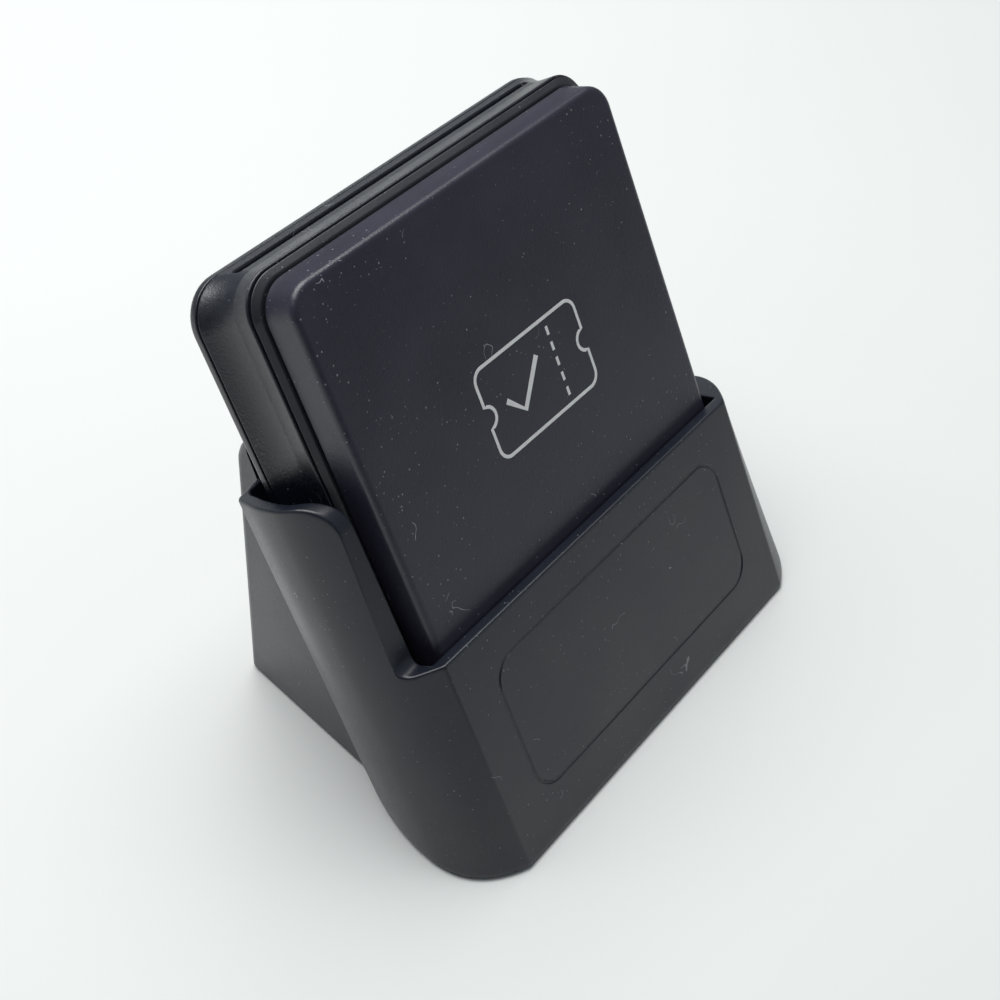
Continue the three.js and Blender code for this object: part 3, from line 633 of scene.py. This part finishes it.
def block_cutter(place, x, y, z):
    """A plain box between two corners, for cutting."""
    skin = Skin(place)
    rows = [skin.row([(x[0], y[0], h), (x[1], y[0], h), (x[1], y[1], h), (x[0], y[1], h)]) for h in z]
    skin.solid(rows)
    return skin.object("block_cutter")


def round_cutter(place, x, y, radius, z, sides=24):
    """A plain round pin between two depths, for cutting."""
    skin = Skin(place)
    angles = [2 * math.pi * i / sides for i in range(sides)]
    rows = [skin.row([(x + radius * math.cos(a), y + radius * math.sin(a), h) for a in angles]) for h in z]
    skin.solid(rows)
    return skin.object("round_cutter")


def pill_rows(skin, long, wide, levels, centre, steps=8):
    """Rows of slot shapes that face +X, one for each (x, shrink)."""
    rows = []
    for x, shrink in levels:
        radius = wide / 2 - shrink
        straight = (long - wide) / 2
        points = []
        for end in (1, -1):
            for step in range(steps + 1):
                angle = step / steps * math.pi + (0 if end == 1 else math.pi)
                points.append((x, centre[0] + end * straight + radius * math.sin(angle),
                               centre[1] + radius * math.cos(angle)))
        rows.append(skin.row(points))
    return rows


def button_cutter():
    """The button's opening, a little larger than the button."""
    skin = Skin(leaning)
    both_gaps = 2 * BUTTON["gap"]
    levels = [(x, 0) for x in BUTTON_CUT]
    rows = pill_rows(skin, BUTTON["long"] + both_gaps, BUTTON["wide"] + both_gaps, levels, BUTTON["middle"])
    skin.solid(rows)
    return skin.object("button_cutter")


def reader_trim_ring():
    """Thin stepped ring between the front cover and the middle housing."""
    front = at_depth(COVER_INNER, TRIM_FRONT[0])
    rear = at_depth(COVER_INNER, TRIM_REAR[0])
    path = [front, TRIM_FRONT, TRIM_REAR, rear]
    reader_ring("trim_ring", path, (0, 0.15, 0.2, 0), "trim_plastic", "reader_trim_ring")


def reader_middle_housing():
    """Waisted ring with the card slot, the button's opening and the windows of its bottom end."""
    cove = cove_path()
    path = [HOUSING_INNER, BAND, WAIST, *cove, SEAM_FRONT, at_depth(HOUSING_INNER, SEAM_FRONT[0])]
    rounds = (0, 0.3, 0.12, *[0] * len(cove), 0.22, 0)
    pin_z = around(PIN_DEPTH, PIN_WINDOW)
    windows = [block_cutter(leaning, around(x, PIN_WINDOW), BOTTOM_WALL, pin_z) for x in PIN_PLACES]
    socket_window = block_cutter(leaning, around(0, SOCKET_WINDOW["half"]), BOTTOM_WALL, SOCKET_WINDOW["z"])
    reader_ring("middle_housing", path, rounds, "housing_plastic", "reader_middle_housing",
                [slot_cutter(), button_cutter(), socket_window, *windows])


def reader_back_cover():
    """Domed tray with a flat back and two screw holes at its bottom."""
    inside = at_depth(HOUSING_INNER, SEAM_REAR[0])
    path = [at_depth(inside, BACK_FLOOR), inside, SEAM_REAR, BACK_EDGE, BACK_DOME, BACK_FLAT,
            inset(BACK_FLAT, BACK_FLAT_MARGIN)]
    rounds = (0, 0, 0.22, 1.1, 1.6, 2.5, 0)
    skin = Skin(leaning)
    rows = [reader_row(skin, section) for section in softened(path, rounds, CASING_STEPS)]
    skin.solid(rows)
    cover = skin.object("back_cover")
    cutters = [round_cutter(leaning, x, y, COUNTERBORE["radius"], COUNTERBORE["z"]) for x, y in CASE_SCREWS]
    carve(cover, *cutters)
    shade(cover)
    finish_piece(cover, PAINTS["housing_plastic"], "reader", ["reader_back_cover"])


def power_button():
    """Long button with a crowned top, on the reader's right side."""
    skin = Skin(leaning)
    levels = [(BUTTON["root"], 0), *((BUTTON["proud"] - down, narrower) for down, narrower in BUTTON_CROWN)]
    rows = pill_rows(skin, BUTTON["long"], BUTTON["wide"], levels, BUTTON["middle"], 10)
    skin.solid(rows)
    button = skin.object("power_button_cap")
    shade(button)
    finish_piece(button, PAINTS["trim_plastic"], "button", ["power_button"])


# ---------------------------------------------------------------- printed mark

MARK = {"middle": (1.0, -28.0), "half_long": 10.2, "half_high": 6.2, "corner": 1.7, "notch": 1.5}
MARK_LINE = 0.46
MARK_LEVELS = (-0.02, 0.03)
PERFORATION = {"count": 5, "pitch": 2.2, "half_dash": 0.6, "right": 4.3}
TICK = ((-6.3, 0.2), (-3.7, -2.4), (1.0, 2.7))
TICK_LINE = 0.782


def stroke(skin, path, width, closed=False):
    """A flat band of ink of that width along the path."""
    count = len(path)
    sides = ([], [])
    for i, (x, y) in enumerate(path):
        before = path[i - 1] if closed or i else path[i]
        after = path[(i + 1) % count] if closed or i + 1 < count else path[i]
        run = Vector((after[0] - before[0], after[1] - before[1])).normalized() * width / 2
        sides[0].append((x - run.y, y + run.x))
        sides[1].append((x + run.y, y - run.x))
    rows = [skin.row([(x, y, z) for x, y in side]) for z in MARK_LEVELS for side in sides]
    low_left, low_right, high_left, high_right = rows
    ring = (high_left, high_right, low_right, low_left, high_left)
    for a, b in zip(ring, ring[1:]):
        skin.band(a, b, closed)
    if not closed:
        for end in (0, -1):
            skin.face([low_left[end], low_right[end], high_right[end], high_left[end]])


def printed_mark():
    """Generic ticket sign: a notched ticket with a perforation and a tick."""
    skin = Skin(leaning)
    x, y = MARK["middle"]
    long, high, corner, notch = (MARK[k] for k in ("half_long", "half_high", "corner", "notch"))
    ticket = []
    for side, turn in ((1, 0), (-1, 180)):
        ticket += arc(x + side * (long - corner), y - side * (high - corner), corner, turn + 270, turn + 360)
        ticket += arc(x + side * long, y, notch, turn + 270, turn + 90)
        ticket += arc(x + side * (long - corner), y + side * (high - corner), corner, turn, turn + 90)
    stroke(skin, ticket, MARK_LINE, closed=True)
    dash_x = x + PERFORATION["right"]
    for step in range(PERFORATION["count"]):
        dash_y = y + (step - (PERFORATION["count"] - 1) / 2) * PERFORATION["pitch"]
        ends = around(dash_y, PERFORATION["half_dash"])
        stroke(skin, [(dash_x, end) for end in ends], MARK_LINE)
    stroke(skin, [(x + right, y + up) for right, up in TICK], TICK_LINE)
    mark = skin.object("printed_mark")
    finish_piece(mark, PAINTS["print_ink"], "reader")


# ---------------------------------------------------------------- dock pocket

# The pocket's front side curve, as pairs of x and z: its two handles and its widest point.
SIDE_AT_RIM = ((33.2, -1.0), (37.15, -5.6), (37.15, -9.5))
SIDE_AT_FOOT = ((36.0, 0.4), (39.3, -2.0), (39.3, -6.5))
SIDE_FOOT = -81.5                       # where the curve has its foot's shape
REAR_HANDLE = 4                         # length of the rear curve's first handle
REAR_HANDLE_END = (0.55, 3.1)           # its second handle: share of the way out, and depth before the corner
CREASE_PULL = 0.7                       # share of a shrink that the front curve's first handle follows
REAR_PULL = 0.3                         # share of a shrink that the rear wall's edge follows
LIP_TURN = 4                            # depth before the rear corner at which the lip begins to turn in
RIM_ROUND = 0.42
LIP_ROUND = 0.34
CREASE_ROUND = 0.28
CORNER_ROUND = 0.5
FOOT_ROUND = 0.5
REAR_LIP = 0.6                          # how far the rear wall reaches below the shelf
REAR_STEPS = 3                          # steps along the rear wall's slanted part


def side_handles(y, shrink=0.0):
    """Curves of the pocket's outside section at height y: crease to widest, widest to rear corner."""
    fall = (RIM_TOP - y) / (RIM_TOP - SIDE_FOOT)
    crease = (PLATE_HALF - shrink / 2, PLATE_FRONT - shrink)
    first, second, widest = (
        tuple(mix(a, b, fall) for a, b in zip(rim, foot)) for rim, foot in zip(SIDE_AT_RIM, SIDE_AT_FOOT)
    )
    first = (first[0] - shrink * CREASE_PULL, first[1] - shrink * CREASE_PULL)
    second = (second[0] - shrink, second[1])
    widest = (widest[0] - shrink, widest[1])
    corner = (REAR_CORNER[0] - shrink, REAR_CORNER[1])
    outward, before_corner = REAR_HANDLE_END
    third = (widest[0], widest[1] - REAR_HANDLE)
    fourth = (mix(corner[0], widest[0], outward), corner[1] + before_corner)
    return (crease, first, second, widest), (widest, third, fourth, corner)


def side_x(z, y, shrink=0.0):
    """How far the pocket's side stands out at a point of its side view."""
    front, rear = side_handles(y, shrink)
    if z <= REAR_CORNER[1]:
        share = (REAR_CORNER[1] - z) / (REAR_CORNER[1] - REAR_FLAT[1])
        return mix(REAR_CORNER[0] - shrink, REAR_FLAT[0] - shrink * REAR_PULL, min(share, 1.0))
    curve = front if z > front[3][1] else rear
    low, high = 0.0, 1.0
    for _ in range(HALVINGS):
        t = (low + high) / 2
        if bezier(curve, t)[1] > z:
            low = t
        else:
            high = t
    return bezier(curve, (low + high) / 2)[0]


# The pocket's hollow, as pairs of half width and z from the plate to the rear wall.
CAVITY = ((31.9, 0.3), (32.3, -2.3), (35.0, -6.8), (35.4, -10.0), (34.6, -15.0), (33.6, -17.4), (31.2, -17.9))


def cavity_x(z):
    """Half width of the pocket's hollow at depth z: straight at both ends and smooth in between."""
    last = len(CAVITY) - 2
    part = next((i for i in range(last) if z >= CAVITY[i + 1][1]), last)
    (x0, z0), (x1, z1) = CAVITY[part], CAVITY[part + 1]
    t = min(max((z0 - z) / (z0 - z1), 0.0), 1.0)
    if part in (0, last):
        return mix(x0, x1, t)
    before, after = CAVITY[part - 1], CAVITY[part + 2]
    leaving = (x1 - before[0]) / (before[1] - z1) * (z0 - z1)
    arriving = (after[0] - x0) / (z0 - after[1]) * (z0 - z1)
    return ((2 * t ** 3 - 3 * t * t + 1) * x0 + (t ** 3 - 2 * t * t + t) * leaving
            + (3 * t * t - 2 * t ** 3) * x1 + (t ** 3 - t * t) * arriving)


def straight(start, end, spacing=0.8):
    """Points from start to just before the end."""
    count = max(1, round(math.dist(start, end) / spacing))
    return [tuple(mix(a, b, i / count) for a, b in zip(start, end)) for i in range(count)]


def rim_path(front):
    """The rim in side view, as (z, y), from the plate's front corner to the rear wall."""
    hollow = (front + RIM_HOLLOW, PLATE_TOP + RIM_HOLLOW)
    shoulder = (front - SHOULDER, RIM_TOP - SHOULDER)
    path = straight((PLATE_FRONT, PLATE_TOP), (hollow[0], PLATE_TOP))
    path += arc(*hollow, RIM_HOLLOW, 270, 180, RIM_HOLLOW_STEPS)
    path += straight((front, hollow[1]), (front, shoulder[1]))[1:]
    path += arc(*shoulder, SHOULDER, 0, 90, SHOULDER_STEPS)
    path += straight((shoulder[0], RIM_TOP), (REAR_CORNER[1], RIM_TOP))[1:]
    path += [(mix(REAR_CORNER[1], REAR_FLAT[1], i / REAR_STEPS), RIM_TOP) for i in range(REAR_STEPS + 1)]
    return path


def inner_rim_z(z):
    """Depth of the rim's inner edge across from a point of its outer edge."""
    wall_front, wall_rear = RIM_FRONT[-1], REAR_CORNER[1] + LIP_TURN
    knots = (
        (PLATE_FRONT, PLATE_BACK),
        (wall_front, wall_front),
        (wall_rear, wall_rear),
        (REAR_CORNER[1], CAVITY[-2][1]),
        (REAR_FLAT[1], CAVITY[-1][1]),
    )
    for (z0, in0), (z1, in1) in zip(knots, knots[1:]):
        if z >= z1 - 1e-6:
            return mix(in0, in1, (z0 - z) / (z0 - z1))
    return knots[-1][1]


def toward(start, end, length):
    """The point that far from start on the way to end."""
    share = min(length / math.dist(start, end), 0.49)
    return tuple(mix(a, b, share) for a, b in zip(start, end))


def edge_rows(before, edge, after, length, steps=FILLET_STEPS):
    """Rows that round off an edge row, between the rows next to it."""
    bends = [(toward(corner, a, length), corner, toward(corner, b, length))
             for a, corner, b in zip(before, edge, after)]
    return [[bend(*ends, step / steps) for ends in bends] for step in range(steps + 1)]


def side_columns(row):
    """The row with its front crease and its rear corner rounded."""
    x, y, z = row[0]
    rounds = [0.0] * (len(row) + 1)
    rounds[1] = CREASE_ROUND
    rounds[-1 - REAR_STEPS] = CORNER_ROUND
    return softened([(x - math.copysign(1, x), y, z), *row], rounds)[1:]


def side_edges(path):
    """The pocket side's edge rows: rim, lip, cavity floor, foot, the foot's inside and the shelf."""
    lengths = [0.0]
    for start, end in zip(path, path[1:]):
        lengths.append(lengths[-1] + math.dist(start, end))
    corner = len(path) - 1 - REAR_STEPS
    shelf_y = CAVITY_FLOOR - SHELF
    rim, lip, floor, foot, foot_inside, shelf = [], [], [], [], [], []
    for i, (z, y) in enumerate(path):
        lip_z = inner_rim_z(z)
        floor_z = mix(PLATE_BACK, CAVITY[-1][1], lengths[i] / lengths[-1])
        if i <= corner:
            along = min(lengths[i] / lengths[corner], 1.0) ** FOOT_SPREAD
            foot_z = mix(PLATE_FRONT, REAR_CORNER[1], along)
            inside_z = mix(PLATE_FRONT - SHELL_WALL, REAR_CORNER[1] + SHELL_WALL / 2, along)
            foot_y, inside_y = (height_to_slope(FOOT_PROUD, depth) for depth in (foot_z, inside_z))
        else:
            foot_z, inside_z = z, z + 1
            foot_y = inside_y = shelf_y - REAR_LIP
        rim.append((side_x(z, y), y, z))
        lip.append((cavity_x(lip_z), y, lip_z))
        floor.append((cavity_x(floor_z), CAVITY_FLOOR, floor_z))
        foot.append((side_x(foot_z, foot_y), foot_y, foot_z))
        foot_inside.append((side_x(inside_z, inside_y, SHELL_WALL), inside_y, inside_z))
        shelf.append((side_x(inside_z, shelf_y, SHELL_WALL), shelf_y, inside_z))
    return rim, lip, floor, foot, foot_inside, shelf


def outside_row(rim, foot, down):
    """The row of the pocket's outside at a share of the way from its rim to its foot."""
    row = []
    for (_, y, z), (_, low_y, low_z) in zip(rim, foot):
        here_y, here_z = mix(y, low_y, down), mix(z, low_z, down)
        row.append((side_x(here_z, here_y), here_y, here_z))
    return row


def inside_row(lip, floor, down):
    """The row of the pocket's hollow at a share of the way from its lip to its floor."""
    return [tuple(mix(a, b, down) for a, b in zip(*pair)) for pair in zip(lip, floor)]


def pocket_side(side):
    """One side of the pocket in rows from front to rear: its shelf, foot, outside, rim, hollow and floor."""
    rim, lip, floor, foot, foot_inside, shelf = side_edges(rim_path(RIM_FRONT[side]))
    wall_shares = (FOOT_SHARE, *(1 - i / WALL_ROWS for i in range(2, WALL_ROWS)), END_SHARE)
    hollow_shares = (END_SHARE, *(i / INNER_ROWS for i in range(1, INNER_ROWS)))
    outside = [outside_row(rim, foot, down) for down in wall_shares]
    inside = [inside_row(lip, floor, down) for down in hollow_shares]
    rows = [
        shelf,
        *edge_rows(shelf, foot_inside, foot, FOOT_ROUND / 3, 2),
        *edge_rows(foot_inside, foot, outside[0], FOOT_ROUND),
        *outside,
        *edge_rows(outside[-1], rim, lip, RIM_ROUND),
        *edge_rows(rim, lip, inside[0], LIP_ROUND),
        *inside,
        floor,
    ]
    return [side_columns([(side * x, y, z) for x, y, z in row]) for row in rows]


def groove_cutter():
    """Ring with sloping walls, for the fine line round the label area."""
    half, top, bottom, radius = (LABEL[k] for k in ("half", "top", "bottom", "radius"))
    wide, slope, deep, flare, above = (GROOVE[k] for k in ("wide", "slope", "deep", "flare", "above"))
    skin = Skin(leaning)
    rows = []
    for grow, z in ((flare, above), (-slope, -deep), (slope - wide, -deep), (-wide - flare, above)):
        edges = (half + grow, bottom - grow, top + grow)
        rows.append(skin.row(rounded_outline(*edges, radius + grow, PLATE_FRONT + z, GROOVE_STEPS)))
    skin.tube([*rows, rows[0]])
    return skin.object("groove_cutter")


def pin_window():
    """The opening in the pocket's floor that the row of spring pins stands in."""
    across = around(0, PIN_ROW["half"])
    through_floor = (CAVITY_FLOOR - PIN_ROW["below"], CAVITY_FLOOR + PIN_ROW["above"])
    return block_cutter(leaning, across, through_floor, around(PIN_DEPTH, PIN_ROW["thick"]))


def dock_pocket():
    """Open box that holds the reader: front plate, two curved sides, rear wall and floor."""
    skin = Skin(leaning)
    right, left = ([skin.row(row) for row in pocket_side(side)] for side in (1, -1))
    for rows in (right, left):
        skin.tube(rows, closed=False)
    for end in (0, -1):
        skin.band([row[end] for row in right], [row[end] for row in left], closed=False)
    for row in (0, -1):
        skin.face([*right[row], *reversed(left[row])])
    pocket = skin.object("pocket")
    carve(pocket, groove_cutter(), pin_window())
    shade(pocket, 30)
    finish_piece(pocket, PAINTS["dock_plastic"], "dock", ["dock_pocket"])


# ---------------------------------------------------------------- dock rear shell

def slope_y(depth, height):
    """Where the leaning plane at a depth behind the face meets a height, in the dock frame."""
    return (height - FACE_TOP_HEIGHT) * SINE / COSINE + depth / COSINE


def shell_half(y):
    """Half width of the rear shell, which narrows to the back."""
    share = (y - SHELL_TAPER_FRONT) / (SHELL_BACK - SHELL_TAPER_FRONT)
    return mix(SHELL_HALF_FRONT, SHELL_HALF_BACK, share)


def ridge(depth, back, top, radius):
    """The rounded ridge in side view, from the upright back to where the sloped front meets it."""
    low, high = 0.0, 90.0
    for _ in range(HALVINGS):
        angle = (low + high) / 2
        y, z = arc(back - radius, top - radius, radius, angle, angle, 1)[0]
        if y > slope_y(depth, z):
            low = angle
        else:
            high = angle
    points = arc(back - radius, top - radius, radius, 0, low, RIDGE_STEPS)
    if slope_y(depth, top) < back - radius:
        points.append((slope_y(depth, top), top))
    return points


def wedge(name, depth, wall, bottom, top, rounding):
    """Upright wedge with a sloped front; its sides, back and ridge meet in a rounding."""
    halves = []
    for step in range(FILLET_STEPS + 1):
        angle = step / FILLET_STEPS * math.pi / 2
        smaller = wall + rounding * (1 - math.sin(angle))
        narrower = wall + rounding * (1 - math.cos(angle))
        back = SHELL_BACK - smaller
        front = max(SHELL_TAPER_FRONT, slope_y(depth, bottom))
        profile = [(front, bottom), (back, bottom), *ridge(depth, back, top - smaller, SHELL_ROUND - smaller)]
        halves.append([(shell_half(y) - narrower, y, z) for y, z in profile])
    skin = Skin(upright)
    rows = [skin.row(half) for half in halves]
    rows += [skin.row([(-x, y, z) for x, y, z in half]) for half in reversed(halves)]
    skin.solid(rows)
    return skin.object(name)


def pocket_cutter(grow):
    """The pocket's outside, a little larger, to clear it out of the rear shell."""
    skin = Skin(leaning)
    rows = []
    for y in POCKET_SPAN:
        front, rear = side_handles(y, -grow)
        half = [bezier(front, i / CURVE_STEPS) for i in range(CURVE_STEPS + 1)]
        half += [bezier(rear, i / CURVE_STEPS) for i in range(1, CURVE_STEPS + 1)]
        half.append((REAR_FLAT[0] + grow, REAR_FLAT[1] - grow))
        rows.append(skin.row([(x, y, z) for x, z in half] + [(-x, y, z) for x, z in reversed(half)]))
    skin.solid(rows)
    return skin.object("pocket_cutter")


def rear_shell():
    """Upright hollow wedge behind the pocket, with a rounded ridge."""
    shell = wedge("rear_shell", SHELL_FRONT - SHELL_OVERLAP, 0, FOOT_PROUD, SHELL_TOP, SHELL_CORNER)
    hollow = wedge("hollow", SHELL_FRONT + SHELL_WALL, SHELL_WALL, HOLLOW_BOTTOM, SHELL_TOP, HOLLOW_CORNER)
    front_opening = wedge("front_opening", SHELL_FRONT - FRONT_OPENING["reach"], SHELL_WALL, HOLLOW_BOTTOM,
                          FRONT_OPENING["top"], HOLLOW_CORNER)
    inlet_across = around(0, INLET_WINDOW["half"])
    inlet_window = block_cutter(upright, inlet_across, INLET_WINDOW["y"], INLET_WINDOW["z"])
    carve(shell, pocket_cutter(POCKET_GAP), hollow, front_opening, inlet_window)
    shade(shell)
    finish_piece(shell, PAINTS["dock_plastic"], "dock", ["dock_rear_shell"])


# ---------------------------------------------------------------- carried-over CAD nodes

def numbered(name, count):
    """The names of a row of equal nodes."""
    return [f"{name}_{i + 1}" for i in range(count)]


CARRIED = {
    "circuit_board": ["antenna_board", "main_board", "pin_board", "inlet_board"],
    "ferrite": ["ferrite_sheet"],
    "battery_foil": ["battery"],
    "socket_steel": ["processor_shield", "reader_usb_socket", "dock_usb_inlet"],
    "inner_plastic": [
        "buzzer", "power_switch", "chip_contact_block", "card_guide", "pin_block", "inner_lead",
    ],
    "contact_gold": numbered("chip_contact", 8) + numbered("charging_pad", 4)
                    + numbered("pin_barrel", 4) + numbered("pin_plunger", 4),
    "screw_steel": numbered("case_screw", 2) + numbered("base_screw", 4),
    "ballast_steel": ["ballast_left", "ballast_right"],
    "dock_plastic": ["base_plate"],
    "foot_rubber": numbered("rubber_foot", 4),
}


def carried_nodes():
    """Gives the nodes that keep their CAD shape a material and a small rounding."""
    for slot, names in CARRIED.items():
        for name in names:
            node = frame["nodes"][name]
            node.data.materials.clear()
            node.data.materials.append(PAINTS[slot])
            round_sharp(node, CARRIED_ROUND)


# ---------------------------------------------------------------- stage, light and camera

FLOOR_HALF = 3.0                                # in metres, like the lamp's measures
ROOM_COLOUR = (0.86, 0.92, 1.0, 1.0)
ROOM_HORIZON, ROOM_TOP = 0.205, 0.25            # brightness at the horizon and above the height given next
ROOM_TOP_HEIGHT = 0.9
DARK_SIDE = (-0.72, -0.69, 0.0)                 # direction of the room's dark side
DARK_FROM, DARK_TO, DARK_LEFT = 0.25, 0.85, 0.25
LAMP = {"at": (0.03, 0.22, 0.60), "aim": (0, 0, 0.03), "size": (0.70, 0.50), "power": 5.1}


def stage():
    """Pale, slightly cloudy floor."""
    paint = Paint("floor_card")
    cloud = paint.noise(160, 3.0)
    body = paint.blend(cloud, tint(0.78, 0.80, 0.78), tint(0.83, 0.85, 0.83))
    paint.set(Base_Color=body, Roughness=0.75, Normal=paint.bump(paint.noise(0.8, 2.0), 0.01))
    mesh = bmesh.new()
    bmesh.ops.create_grid(mesh, x_segments=8, y_segments=8, size=FLOOR_HALF)
    data = bpy.data.meshes.new("floor_card")
    mesh.to_mesh(data)
    mesh.free()
    floor = bpy.data.objects.new("floor_card", data)
    floor.data.materials.append(paint.material)
    bpy.context.scene.collection.objects.link(floor)


def softbox(name, at, aim, size, power):
    """A rectangular lamp, with its place and size in metres."""
    light = bpy.data.lights.new(name, "AREA")
    light.shape = "RECTANGLE"
    light.size, light.size_y = size
    light.energy = power
    lamp = bpy.data.objects.new(name, light)
    lamp.location = at
    lamp.rotation_euler = (Vector(aim) - Vector(at)).to_track_quat("-Z", "Y").to_euler()
    bpy.context.scene.collection.objects.link(lamp)


def surroundings():
    """Dim room: a little brighter above than at the horizon, and darker at the front left."""
    world = bpy.data.worlds.new("room")
    bpy.context.scene.world = world
    world.use_nodes = True
    tree = world.node_tree
    nodes, links = tree.nodes, tree.links
    place = nodes.new("ShaderNodeTexCoord")
    split = nodes.new("ShaderNodeSeparateXYZ")
    links.new(place.outputs["Generated"], split.inputs[0])
    toward_dark = nodes.new("ShaderNodeVectorMath")
    toward_dark.operation = "DOT_PRODUCT"
    toward_dark.inputs[1].default_value = DARK_SIDE
    links.new(place.outputs["Generated"], toward_dark.inputs[0])
    strength = nodes.new("ShaderNodeMath")
    strength.operation = "MULTIPLY"
    upward = smooth_ramp(tree, split.outputs["Z"], 0.0, ROOM_TOP_HEIGHT, ROOM_HORIZON, ROOM_TOP)
    links.new(upward, strength.inputs[0])
    sideways = smooth_ramp(tree, toward_dark.outputs["Value"], DARK_FROM, DARK_TO, 1.0, DARK_LEFT)
    links.new(sideways, strength.inputs[1])
    background = nodes["Background"]
    background.inputs["Color"].default_value = ROOM_COLOUR
    links.new(strength.outputs[0], background.inputs["Strength"])


CAMERA_AT = (-129.468, 51.450, 139.360)         # in the leaning frame
CAMERA_AIM = (-12.159, -37.967, 0)
CAMERA_ROLL = 5.0186
CAMERA_LENS = 58.714


def camera():
    """The camera, aimed and rolled in the leaning frame."""
    data = bpy.data.cameras.new("camera")
    data.lens = CAMERA_LENS
    data.sensor_width = 36
    made = bpy.data.objects.new("camera", data)
    at, aim = leaning(*CAMERA_AT), leaning(*CAMERA_AIM)
    roll = Quaternion((0, 0, 1), math.radians(CAMERA_ROLL))
    made.rotation_mode = "QUATERNION"
    made.rotation_quaternion = (aim - at).to_track_quat("-Z", "Y") @ roll
    made.location = at
    data.clip_start, data.clip_end = 0.01, 20
    bpy.context.scene.collection.objects.link(made)
    bpy.context.scene.camera = made


camera()
stage()
surroundings()
softbox("overhead", LAMP["at"], LAMP["aim"], LAMP["size"], LAMP["power"])
bpy.context.scene.view_settings.view_transform = "Standard"

reader_front_cover()
reader_trim_ring()
reader_middle_housing()
reader_back_cover()
power_button()
printed_mark()
dock_pocket()
rear_shell()
carried_nodes()
